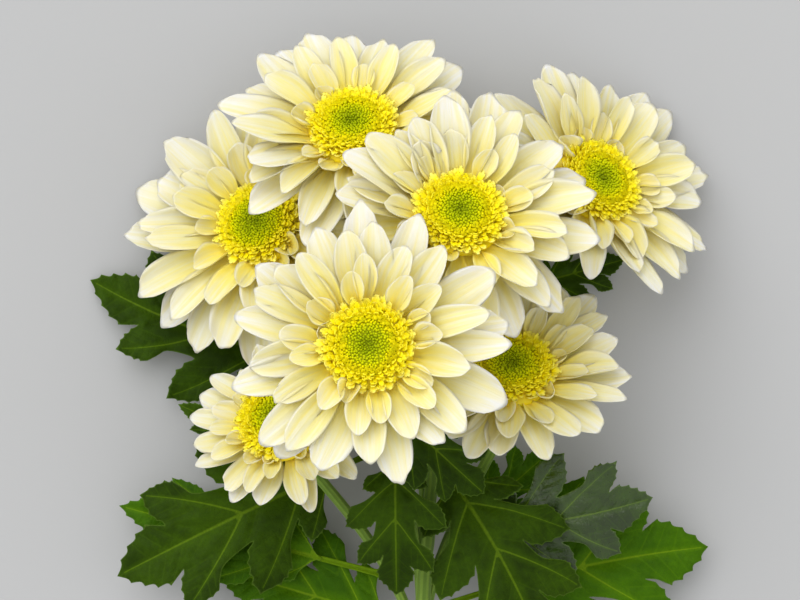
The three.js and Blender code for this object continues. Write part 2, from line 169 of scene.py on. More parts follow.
class Bench:
    """Places the nodes of one tree and joins them."""

    def __init__(self, tree: bpy.types.NodeTree, effects: "Union[Effects, None]" = None) -> None:
        """Takes the tree to work in, and the shared effects if it uses them."""
        self.tree = tree
        self.effects = effects

    def put(self, value: Source, socket: bpy.types.NodeSocket) -> None:
        """Joins a socket to an input, or sets the input to a number or colour."""
        if isinstance(value, bpy.types.NodeSocket):
            self.tree.links.new(value, socket)
        else:
            socket.default_value = value

    def node(self, kind: str, inputs: dict, **settings: object) -> bpy.types.Node:
        """Adds a node.

        Args:
            kind: The node's type name.
            inputs: A socket, number or linear colour for each input, by the input's name or place.
            settings: The node's own options.

        Returns:
            The new node.
        """
        made = self.tree.nodes.new(kind)
        for name, value in settings.items():
            setattr(made, name, value)
        for name, value in inputs.items():
            self.put(value, made.inputs[name])
        made.location = (180 * len(self.tree.nodes), 0)
        return made

    def math(self, operation: str, *values: Source) -> bpy.types.NodeSocket:
        """A Math node's result for one, two or three values."""
        return self.node("ShaderNodeMath", dict(enumerate(values)), operation=operation).outputs[0]

    def times(self, first: Source, second: Source) -> bpy.types.NodeSocket:
        """The product of two values."""
        return self.math("MULTIPLY", first, second)

    def plus(self, first: Source, second: Source) -> bpy.types.NodeSocket:
        """The sum of two values."""
        return self.math("ADD", first, second)

    def scaled(self, value: Source, factor: Source, offset: Source) -> bpy.types.NodeSocket:
        """A value times a factor, plus an offset."""
        return self.math("MULTIPLY_ADD", value, factor, offset)

    def carried(self, *names: str) -> list[bpy.types.NodeSocket]:
        """The numbers that the mesh carries under some names."""
        return [self.node("ShaderNodeAttribute", {}, attribute_name=name).outputs["Fac"] for name in names]

    def place(self) -> bpy.types.NodeSocket:
        """The place on the object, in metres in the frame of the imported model."""
        return self.node("ShaderNodeTexCoord", {}).outputs["Object"]

    def noise(self, at: Source, scale: Source, detail: float) -> bpy.types.NodeSocket:
        """Smooth noise between 0 and 1."""
        inputs = {"Vector": at, "Scale": scale, "Detail": detail}
        return self.node("ShaderNodeTexNoise", inputs).outputs["Fac"]

    def mix(self, share: Source, first: Source, second: Source) -> bpy.types.NodeSocket:
        """Mixes two colours."""
        inputs = {0: share, 6: linear(first), 7: linear(second)}
        return self.node("ShaderNodeMix", inputs, data_type="RGBA", clamp_factor=True).outputs[2]

    def between(
        self, value: Source, low: float, high: float, start: float = 0.0, end: float = 1.0
    ) -> bpy.types.NodeSocket:
        """A value carried smoothly from the range low to high over to the range start to end."""
        inputs = {"Value": value, "From Min": low, "From Max": high, "To Min": start, "To Max": end}
        return self.node("ShaderNodeMapRange", inputs, interpolation_type="SMOOTHSTEP").outputs["Result"]

    def ramp(self, value: Source, *stops: tuple[float, tuple]) -> bpy.types.NodeSocket:
        """A colour from a row of stops, each a place between 0 and 1 and a colour."""
        made = self.node("ShaderNodeValToRGB", {0: value})
        steps = made.color_ramp.elements
        while len(steps) < len(stops):
            steps.new(0.5)
        for step, (place, tint) in zip(steps, stops):
            step.position = place
            step.color = linear(tint)
        return made.outputs["Color"]

    def bump(self, height: Source, distance: float, strength: float) -> bpy.types.NodeSocket:
        """A normal from a height that spans a distance in metres."""
        inputs = {"Height": height, "Distance": distance, "Strength": strength}
        return self.node("ShaderNodeBump", inputs).outputs["Normal"]

    def mottled(self, first: Source, second: Source, scale: float, amount: float) -> bpy.types.NodeSocket:
        """A colour with patches of a second one, by the shared effect."""
        inputs = {"Color": linear(first), "Shade": linear(second), "Scale": scale, "Amount": amount}
        return self.node("ShaderNodeGroup", inputs, node_tree=self.effects.mottle).outputs["Color"]

    def streaks(self, across: Source, along: Source, piece: Source, count: float) -> bpy.types.NodeSocket:
        """A mask of growth streaks, by the shared effect."""
        inputs = {"Across": across, "Along": along, "Piece": piece, "Count": count}
        return self.node("ShaderNodeGroup", inputs, node_tree=self.effects.streaks).outputs["Mask"]

    def cells(self, scale: float) -> bpy.types.NodeSocket:
        """The height of pebbled skin, by the shared effect."""
        return self.node("ShaderNodeGroup", {"Scale": scale}, node_tree=self.effects.cells).outputs["Height"]


@dataclass(frozen=True)
class Effects:
    """The shader effects that several materials share."""

    mottle: bpy.types.NodeTree
    streaks: bpy.types.NodeTree
    cells: bpy.types.NodeTree


def effect_tree(name: str, inputs: Sequence[str], output: str) -> tuple[Bench, dict, bpy.types.NodeSocket]:
    """Starts a shared effect. Inputs and outputs that are named after a colour carry one, others a number.

    Args:
        name: The effect's name.
        inputs: The inputs' names.
        output: The output's name.

    Returns:
        A bench to work in the effect's tree, its inputs by name, and where its result goes.
    """
    tree = bpy.data.node_groups.new(name, "ShaderNodeTree")
    for label, way in [*((one, "INPUT") for one in inputs), (output, "OUTPUT")]:
        kind = "NodeSocketColor" if label in ("Color", "Shade") else "NodeSocketFloat"
        tree.interface.new_socket(label, in_out=way, socket_type=kind)
    bench = Bench(tree)
    given = bench.node("NodeGroupInput", {}).outputs
    return bench, given, bench.node("NodeGroupOutput", {}).inputs[output]


def mottle_effect() -> bpy.types.NodeTree:
    """Patches of a second shade in living tissue, large and small."""
    bench, given, result = effect_tree("tissue_mottle", ("Color", "Shade", "Scale", "Amount"), "Color")
    at = bench.place()
    large = bench.noise(at, given["Scale"], 3.0)
    small = bench.noise(at, bench.times(given["Scale"], 6.3), 2.0)
    patches = bench.between(bench.plus(bench.times(large, 0.7), bench.times(small, 0.3)), 0.34, 0.66)
    bench.put(bench.mix(bench.times(patches, given["Amount"]), given["Color"], given["Shade"]), result)
    return bench.tree


def streaks_effect() -> bpy.types.NodeTree:
    """Fine streaks that run the way that a petal, bract or stem grows."""
    bench, given, result = effect_tree("growth_streaks", ("Across", "Along", "Piece", "Count"), "Mask")
    across = bench.times(given["Across"], given["Count"])
    along = bench.times(given["Along"], 1.6)
    piece = bench.times(given["Piece"], 37.0)
    at = bench.node("ShaderNodeCombineXYZ", {0: across, 1: along, 2: piece}).outputs[0]
    bench.put(bench.between(bench.noise(at, 1.0, 2.5), 0.3, 0.7), result)
    return bench.tree


def cells_effect() -> bpy.types.NodeTree:
    """The pebbled relief of leaf and stem skin."""
    bench, given, result = effect_tree("skin_cells", ("Scale",), "Height")
    at = bench.place()
    inputs = {"Vector": at, "Scale": given["Scale"], "Smoothness": 0.6}
    cell = bench.node("ShaderNodeTexVoronoi", inputs, feature="SMOOTH_F1").outputs["Distance"]
    rough = bench.noise(at, bench.times(given["Scale"], 2.3), 3.0)
    bench.put(bench.plus(bench.times(cell, -0.7), bench.times(rough, 0.5)), result)
    return bench.tree


# Finishes


@dataclass(frozen=True)
class Finish:
    """What the finishes share: each describes its surface, and this joins that to the shader."""

    name: str

    def surface(self, bench: Bench) -> dict[str, Source]:
        """What the shader's inputs get, by name."""
        raise NotImplementedError

    def material(self, effects: Union[Effects, None] = None) -> bpy.types.Material:
        """Builds the material.

        Args:
            effects: The shared shader effects, if the finish uses them.

        Returns:
            The finished material.
        """
        material = bpy.data.materials.new(self.name)
        material.use_nodes = True
        bench = Bench(material.node_tree, effects)
        shader = material.node_tree.nodes["Principled BSDF"]
        for socket, value in self.surface(bench).items():
            bench.put(value, shader.inputs[socket])
        return material


@dataclass(frozen=True)
class PetalFinish(Finish):
    """Soft cream petals, yellow at the root, with fine streaks and a silky surface."""

    name: str = "petal_cream"
    root: tuple = (255, 226, 0)
    throat: tuple = (254, 230, 64)
    middle: tuple = (235, 221, 134)
    outer: tuple = (225, 219, 182)
    tip: tuple = (226, 224, 216)
    # Warm yellow laid along the streaks and into the folds; in the folds it is painted shade.
    streak_and_fold_shade: tuple = (231, 213, 118)
    rim: tuple = (224, 221, 218)
    core: tuple = (254, 228, 0)
    roughness: float = 0.5
    glow: float = 0.4

    def surface(self, bench: Bench) -> dict[str, Source]:
        """Turns paler from the root to the tip, sooner on the outer petals, with warmer streaks and painted
        shade along the folds.
        """
        along, across, rank, tone, crease, core = bench.carried(
            "along", "across", "rank", "tone", "crease", "core"
        )
        reach = bench.scaled(rank, -0.46, 1.0)
        warm = bench.scaled(tone, 0.05, bench.times(along, reach))
        streak = bench.streaks(across, along, tone, 5.0)
        paleness = bench.scaled(streak, -0.16, bench.plus(warm, 0.1))
        tints = self.root, self.throat, self.middle, self.outer, self.tip
        base = bench.ramp(paleness, *zip((0.0, 0.16, 0.33, 0.58, 0.92), tints))
        # Painted shade: the warm tint deepens in the folds' valleys, and it also follows the streaks.
        fold_shaded = bench.mix(bench.scaled(streak, 0.34, bench.times(crease, 0.34)), base, self.streak_and_fold_shade)
        side = bench.between(bench.math("ABSOLUTE", across), 0.72, 1.0)
        far = bench.between(along, 0.3, 0.8)
        rimmed = bench.mix(bench.times(side, bench.times(far, 0.25)), fold_shaded, self.rim)
        cored = bench.mix(core, rimmed, self.core)
        fine = bench.streaks(across, along, tone, 17.0)
        height = bench.plus(bench.times(streak, 0.5), bench.times(fine, 0.5))
        return {
            "Base Color": bench.mottled(cored, self.middle, 160.0, 0.12),
            "Roughness": bench.scaled(fine, 0.14, self.roughness - 0.07),
            "Normal": bench.bump(height, 0.00012, 0.5),
            "Subsurface Weight": self.glow,
            "Subsurface Radius": (1.0, 0.85, 0.45),
            "Subsurface Scale": 0.0025,
            "Specular IOR Level": 0.25,
            "Sheen Weight": 0.08,
            "Sheen Roughness": 0.4,
        }


@dataclass(frozen=True)
class RingFinish(Finish):
    """Saturated yellow florets, deeper at the root and paler in the outer rows."""

    name: str = "floret_yellow"
    root: tuple = (255, 232, 0)
    middle: tuple = (255, 238, 0)
    tip: tuple = (255, 242, 50)
    outer: tuple = (255, 244, 124)
    sheen: tuple = (255, 230, 60)
    roughness: float = 0.5

    def surface(self, bench: Bench) -> dict[str, Source]:
        """Turns lighter from the root to the tip, and paler outwards."""
        along, across, rank, tone = bench.carried("along", "across", "rank", "tone")
        streak = bench.streaks(across, along, tone, 3.0)
        warm = bench.scaled(tone, 0.12, along)
        base = bench.ramp(warm, (0.0, self.root), (0.4, self.middle), (1.0, self.tip))
        paled = bench.mix(bench.times(rank, bench.between(along, 0.25, 0.95)), base, self.outer)
        return {
            "Base Color": bench.mottled(paled, self.root, 700.0, 0.18),
            "Roughness": bench.scaled(streak, 0.15, self.roughness - 0.07),
            "Normal": bench.bump(streak, 0.0001, 0.5),
            "Subsurface Weight": 0.2,
            "Subsurface Radius": (1.0, 0.9, 0.15),
            "Subsurface Scale": 0.0012,
            "Specular IOR Level": 0.12,
            "Sheen Weight": 0.3,
            "Sheen Roughness": 0.6,
            "Sheen Tint": linear(self.sheen),
        }


@dataclass(frozen=True)
class DiscFinish(Finish):
    """Disc florets: olive buds in the middle, then lime, then open yellow ones at the rim."""

    name: str = "floret_green"
    heart: tuple = (120, 135, 0)
    bud: tuple = (166, 178, 0)
    lime: tuple = (208, 208, 0)
    open: tuple = (252, 232, 0)
    # A darker olive: painted shade at the florets' feet and on the dome between them, and also the colour of
    # the mottle's patches.
    gap: tuple = (158, 164, 0)
    roughness: float = 0.55

    def surface(self, bench: Bench) -> dict[str, Source]:
        """Colours each floret by its age, with painted shade at its foot."""
        age, tone, along = bench.carried("age", "tone", "along")
        tints = self.heart, self.bud, self.lime, self.open
        base = bench.ramp(bench.scaled(tone, 0.07, age), *zip((0.0, 0.3, 0.62, 0.82), tints))
        # Painted shade: the gap colour darkens each floret towards its foot, and the bare dome.
        shaded = bench.mix(bench.between(along, 0.0, 0.7, 0.4, 0.0), base, self.gap)
        grain = bench.noise(bench.place(), 5200.0, 3.0)
        return {
            "Base Color": bench.mottled(shaded, self.gap, 900.0, 0.2),
            "Roughness": bench.scaled(grain, 0.2, self.roughness - 0.1),
            "Normal": bench.bump(grain, 0.00012, 0.6),
            "Subsurface Weight": 0.3,
            "Subsurface Radius": (0.8, 1.0, 0.1),
            "Subsurface Scale": 0.001,
            "Specular IOR Level": 0.08,
        }


@dataclass(frozen=True)
class CalyxFinish(Finish):
    """Green bracts with a darker keel and a thin papery margin."""

    name: str = "bract_green"
    green: tuple = (96, 128, 40)
    keel: tuple = (62, 92, 20)
    margin: tuple = (176, 168, 116)
    roughness: float = 0.6

    def surface(self, bench: Bench) -> dict[str, Source]:
        """Darkens keel and streaks, and pales the margin."""
        across, along, tone = bench.carried("across", "along", "tone")
        side = bench.math("ABSOLUTE", across)
        streak = bench.streaks(across, along, tone, 6.0)
        keeled = bench.mix(bench.between(side, 0.0, 0.35, 0.8, 0.0), self.green, self.keel)
        edge = bench.math("MAXIMUM", bench.between(side, 0.68, 0.95), bench.between(along, 0.82, 1.0))
        edged = bench.mix(bench.times(edge, 0.85), keeled, self.margin)
        streaked = bench.mix(bench.times(streak, 0.25), edged, self.keel)
        height = bench.plus(bench.times(bench.cells(2600.0), 0.5), streak)
        return {
            "Base Color": bench.mottled(streaked, self.keel, 420.0, 0.25),
            "Roughness": bench.scaled(streak, 0.16, self.roughness - 0.08),
            "Normal": bench.bump(height, 0.00012, 0.6),
            "Specular IOR Level": 0.35,
            "Sheen Weight": 0.15,
        }


@dataclass(frozen=True)
class LeafFinish(Finish):
    """Dark green leaves with yellow green veins above and a paler, duller underside."""

    blade: tuple = (48, 73, 0)
    shade: tuple = (26, 43, 0)
    # A lighter green: painted light in bands beside the veins.
    light: tuple = (57, 84, 0)
    vein: tuple = (100, 128, 16)
    under: tuple = (112, 138, 56)
    margin: tuple = (92, 120, 40)
    roughness: float = 0.58
    gloss: float = 0.06

    def surface(self, bench: Bench) -> dict[str, Source]:
        """Paints light in bands beside the veins, draws veins and margin, and pales the underside."""
        main, small, edge, under = bench.carried("vein_main", "vein_small", "edge", "under")
        patched = bench.mottled(self.blade, self.shade, 48.0, 0.85)
        # Painted light: broad bands beside the main veins and narrow ones beside the small veins are
        # lightened.
        vein_bands_lit = bench.mix(bench.between(main, 1.0, 14.0, 0.5, 0.0), patched, self.light)
        fine = bench.mix(bench.between(small, 0.4, 3.2, 0.24, 0.0), vein_bands_lit, self.light)
        veined = bench.mix(bench.between(main, 0.3, 2.2, 0.52, 0.0), fine, self.vein)
        rimmed = bench.mix(bench.between(edge, 0.0, 0.4, 0.5, 0.0), veined, self.margin)
        backed = bench.mix(under, rimmed, self.under)
        under_veins = bench.times(bench.between(main, 0.6, 1.8, 0.45, 0.0), under)
        coloured = bench.mix(under_veins, backed, self.vein)
        cells = bench.cells(1500.0)
        inputs = {"Vector": bench.place(), "Scale": 620.0}
        mesh = bench.node("ShaderNodeTexVoronoi", inputs, feature="DISTANCE_TO_EDGE").outputs["Distance"]
        net = bench.between(mesh, 0.0, 0.14)
        height = bench.plus(bench.times(cells, 0.5), bench.times(net, 0.5))
        return {
            "Base Color": bench.mottled(coloured, self.shade, 900.0, 0.22),
            "Roughness": bench.plus(bench.scaled(cells, 0.2, self.roughness), bench.times(under, 0.2)),
            "Normal": bench.bump(height, 0.00018, 0.55),
            "Subsurface Weight": 0.06,
            "Subsurface Radius": (0.5, 1.0, 0.1),
            "Subsurface Scale": 0.0006,
            "Specular IOR Level": self.gloss,
        }


@dataclass(frozen=True)
class StemFinish(Finish):
    """A ribbed, slightly downy green stem that turns brownish towards its cut end, with a pale pith."""

    name: str = "stem_green"
    green: tuple = (126, 156, 48)
    groove: tuple = (88, 120, 24)
    brown: tuple = (112, 104, 58)
    pith: tuple = (214, 214, 176)
    roughness: float = 0.6

    def surface(self, bench: Bench) -> dict[str, Source]:
        """Darkens grooves and streaks, browns the old part and shows the pith on the cut."""
        rib, old, along, across, pith = bench.carried("rib", "old", "along", "across", "pith")
        streak = bench.streaks(across, along, 0.3, 9.0)
        ribbed = bench.mix(bench.between(rib, -0.6, 0.6, 0.8, 0.0), self.green, self.groove)
        streaked = bench.mix(bench.times(streak, 0.35), ribbed, self.groove)
        aged = bench.mix(bench.times(old, bench.scaled(streak, 0.5, 0.4)), streaked, self.brown)
        cut = bench.mix(pith, aged, self.pith)
        height = bench.plus(bench.times(bench.cells(2000.0), 0.6), bench.times(streak, 0.7))
        return {
            "Base Color": bench.mottled(cut, self.groove, 240.0, 0.3),
            "Roughness": bench.scaled(streak, 0.2, self.roughness - 0.1),
            "Normal": bench.bump(height, 0.0002, 0.6),
            "Specular IOR Level": 0.35,
            "Sheen Weight": 0.1,
            "Sheen Roughness": 0.5,
        }


@dataclass(frozen=True)
class FloorFinish(Finish):
    """A matt pale grey."""

    name: str = "studio_floor"
    grey: tuple = (171, 171, 171)
    shade: tuple = (166, 166, 166)

    def surface(self, bench: Bench) -> dict[str, Source]:
        """Mixes in a little of the darker grey, in soft patches."""
        grain = bench.noise(bench.place(), 14.0, 3.0)
        tint = bench.mix(bench.times(grain, 0.1), self.grey, self.shade)
        return {"Base Color": tint, "Roughness": 0.95, "Specular IOR Level": 0.0}


# Meshes


def placed(name: str, data: bpy.types.ID) -> bpy.types.Object:
    """Puts an object with the given data into the scene."""
    made = bpy.data.objects.new(name, data)
    bpy.context.scene.collection.objects.link(made)
    return made


@dataclass
class Skin:
    """A mesh in the making, in the drawing frame, with the numbers that its vertices carry."""

    names: tuple[str, ...]
    points: list[Array] = field(default_factory=list)
    faces: list[Array] = field(default_factory=list)
    values: dict[str, list[Array]] = field(default_factory=dict)
    count: int = 0

    def add(self, points: Array, faces: Sequence[Array], **values: Union[float, Array]) -> None:
        """Adds a closed form.

        Args:
            points: The vertices, one row each.
            faces: Arrays of triangles and quads, numbered from this form's first vertex.
            values: A number for the form, or one for each vertex, by name. The mesh's own names are kept.
        """
        self.points.append(points)
        self.faces.extend(block + self.count for block in faces)
        for name in self.names:
            value = np.broadcast_to(values.get(name, 0.0), len(points))
            self.values.setdefault(name, []).append(value)
        self.count += len(points)

    def piece(self, name: str, node: str, slot: Slot, material: bpy.types.Material) -> None:
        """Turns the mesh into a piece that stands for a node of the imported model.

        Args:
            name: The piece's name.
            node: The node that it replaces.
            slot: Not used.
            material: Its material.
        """
        place = (np.concatenate(self.points) - REST_POINT) / MM_PER_METRE
        mesh = bpy.data.meshes.new(name)
        faces = [face for block in self.faces for face in block.tolist()]
        mesh.from_pydata(place.tolist(), [], faces)
        mesh.validate()
        for label, parts in self.values.items():
            carried = mesh.attributes.new(label, "FLOAT", "POINT")
            carried.data.foreach_set("value", np.concatenate(parts).astype(np.float32))
        mesh.polygons.foreach_set("use_smooth", [True] * len(mesh.polygons))
        mesh.materials.append(material)
        mesh.update()
        piece = placed(name, mesh)
        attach(piece, "root")
        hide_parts(node)
        LOG.info("%s: %d triangles, stands for %s", name, sum(len(face) - 2 for face in faces), node)


def rotated(first: Array, second: Array, angle: Union[float, Array]) -> tuple[Array, Array]:
    """Two coordinates turned by an angle in radians."""
    cosine, sine = np.cos(angle), np.sin(angle)
    return first * cosine - second * sine, first * sine + second * cosine


def grid_quads(numbers: Array) -> Array:
    """The quads between the vertices of a grid, given their numbers by row and column."""
    corners = [numbers[:-1, :-1], numbers[:-1, 1:], numbers[1:, 1:], numbers[1:, :-1]]
    return np.stack(corners, -1).reshape(-1, 4)


def tube_faces(rings: int, sides: int) -> list[Array]:
    """The faces of a closed tube. Its vertices are its rings, then the middles of its first and last end.

    Args:
        rings: How many rings it has.
        sides: How many vertices each ring has.

    Returns:
        Its quads and the triangles of each end.
    """
    total = rings * sides
    numbers = np.pad(np.arange(total).reshape(rings, sides), ((0, 0), (0, 1)), mode="wrap")
    first, last = numbers[0], numbers[-1]
    return [
        grid_quads(numbers),
        np.stack([np.full(sides, total), first[1:], first[:-1]], -1),
        np.stack([last[:-1], last[1:], np.full(sides, total + 1)], -1),
    ]


def lathe(profile: Sequence[tuple[float, float]], segments: int) -> tuple[Array, list[Array]]:
    """A closed turned form about the bloom's axis.

    Args:
        profile: Radius and height, from the axis below round the outside to the axis above.
        segments: How many faces go round.

    Returns:
        Its vertices and its faces.
    """
    angles = 2 * np.pi * np.arange(segments) / segments
    radius, height = np.array(profile).T[..., None]
    rings = np.stack(np.broadcast_arrays(radius * np.cos(angles), radius * np.sin(angles), height), -1)[1:-1]
    ends = [[0, 0, profile[0][1]], [0, 0, profile[-1][1]]]
    return np.concatenate([rings.reshape(-1, 3), ends]), tube_faces(len(rings), segments)


def thinned(along: Array, across: Array) -> Array:
    """How thick a sheet is at its points, from 1 in the middle to 0 along its sides and tip."""
    return np.sqrt(np.maximum(0, 1 - across**2)) * np.sqrt(np.maximum(0, 1 - along**10))


@dataclass(frozen=True)
class SheetGrid:
    """A thin closed sheet: a grid of points above, and one below that shares its border."""

    rows: int
    columns: int

    def shares(self) -> tuple[Array, Array]:
        """How far along (0 to 1) and across (-1 to 1) the points lie, to go with sheet, row and column."""
        return np.linspace(0, 1, self.rows)[None, :, None], np.linspace(-1, 1, self.columns)[None, None]

    def quads(self) -> Array:
        """The faces above, then those below."""
        top = np.arange(self.rows * self.columns).reshape(self.rows, self.columns)
        under = top.copy()
        inner = under[1:-1, 1:-1]
        inner[:] = top.size + np.arange(inner.size).reshape(inner.shape)
        return np.concatenate([grid_quads(top)[:, [0, 3, 2, 1]], grid_quads(under)])

    def thicken(self, skin: Skin, points: Array, depth: Array, **values: Array) -> None:
        """Adds many sheets of this grid to a mesh.

        Args:
            skin: The mesh to add to.
            points: The upper faces' points, by sheet, row and column.
            depth: How far the lower face lies beneath each point, by sheet, row and column.
            values: The numbers that the points carry, by sheet, row and column.
        """
        normal = np.cross(np.gradient(points, axis=1), np.gradient(points, axis=2))
        normal /= np.maximum(np.linalg.norm(normal, axis=-1, keepdims=True), 1e-9)
        lower = points - normal * depth[..., None]
        spread = {name: np.broadcast_to(value, points.shape[:-1]) for name, value in values.items()}
        quads = self.quads()
        for k in range(len(points)):
            both = np.concatenate([points[k].reshape(-1, 3), lower[k, 1:-1, 1:-1].reshape(-1, 3)])
            carried = {name: np.append(value[k], value[k, 1:-1, 1:-1]) for name, value in spread.items()}
            skin.add(both, [quads], **carried)


@dataclass
class Blades:
    """Curved blades that grow outwards from a bloom's middle, with a value for each or for all in each field.

    Angles are in radians. A blade rises from its root at `rise`, turns by `curl` along its length, rolls by
    `roll` and swings sideways by `bow`.
    """

    azimuth: Array
    root_radius: Array
    root_height: Array
    length: Array
    width: Array
    rise: Array
    curl: Array
    cup: Array
    roll: Array
    bow: Array
    rank: Array
    tone: Array

    def of(self, name: str) -> Array:
        """A field's values, shaped to go with rows and columns."""
        return np.asarray(getattr(self, name), float).reshape(-1, 1, 1)

    def points(self, share: Array, across: Array, up: Array) -> Array:
        """Points in the bloom's frame.

        Args:
            share: The share of the blade's length, by blade, row and column.
            across: How far off the middle line.
            up: How far above the middle line.

        Returns:
            The points, by blade, row and column.
        """
        start, curl, length = self.of("rise"), self.of("curl"), self.of("length")
        now = start + curl * share
        radius = self.of("root_radius") + length * (np.sin(now) - np.sin(start)) / curl
        height = self.of("root_height") - length * (np.cos(now) - np.cos(start)) / curl
        side, normal = rotated(across, up, self.of("roll") * share)
        side = side + self.of("bow") * length * share**2
        out = radius - normal * np.sin(now)
        high = height + normal * np.cos(now)
        return np.stack([*rotated(out, side, self.of("azimuth")), high], -1)


# Blooms

# The profiles are pairs of radius and height, from the axis below to the axis above.
RECEPTACLE = (
    (0, -7.5), (5.6, -7.5), (7.2, -7.0), (10, -5), (12.1, -2.8), (12.6, -1.6), (12.0, -0.9), (0, -0.8),
)
CUP = ((0, -13.3), (2.1, -13.3), (3.3, -12.9), (5.2, -11.5), (6.4, -9.8), (7.2, -7.9), (6.4, -7.7), (0, -7.7))
BUD_FLORET = ((0, -0.3), (0.36, -0.2), (0.46, 0.35), (0.42, 0.7), (0.24, 0.98), (0, 1.06))
OPEN_FLORET = ((0, -0.3), (0.3, -0.2), (0.36, 0.55), (0.5, 0.95), (0.14, 0.72), (0, 1.25))
DOME_RADII = np.array([8.6, 8.3, 7.8, 7.0, 6.0, 4.8, 3.6, 2.4, 1.2])

# The sizes that the petals' relief, their width and the disc's colours were set at, in millimetres.
USUAL_WIDTH = 11.6
USUAL_REACH = 40
USUAL_GREEN = 6.4

# The folds of a petal: place across it, width and depth.
FOLDS = ((-0.5, 0.17, 0.8), (0.02, 0.15, 0.55), (0.46, 0.18, 0.9))

# The rows of florets: count, root radius, root height, rise in degrees, length and width.
RING_ROWS = (
    (36, 8.0, 1.7, 46, 1.7, 1.5),
    (38, 8.5, 1.5, 41, 1.9, 1.6),
    (40, 9.0, 1.2, 36, 2.2, 1.7),
    (40, 9.6, 0.9, 32, 2.5, 1.8),
    (36, 10.2, 0.5, 29, 2.8, 2.1),
    (28, 10.9, 0.1, 27, 3.3, 2.6),
)

# The rows of bracts: count, root radius, root height, rise and curl in degrees, length and width.
BRACT_ROWS = (
    (13, 6.0, -10.7, 50, 14, 5.6, 3.6),
    (13, 4.9, -12.0, 36, 26, 6.0, 3.6),
    (12, 3.2, -13.1, 22, 34, 6.0, 3.4),
)


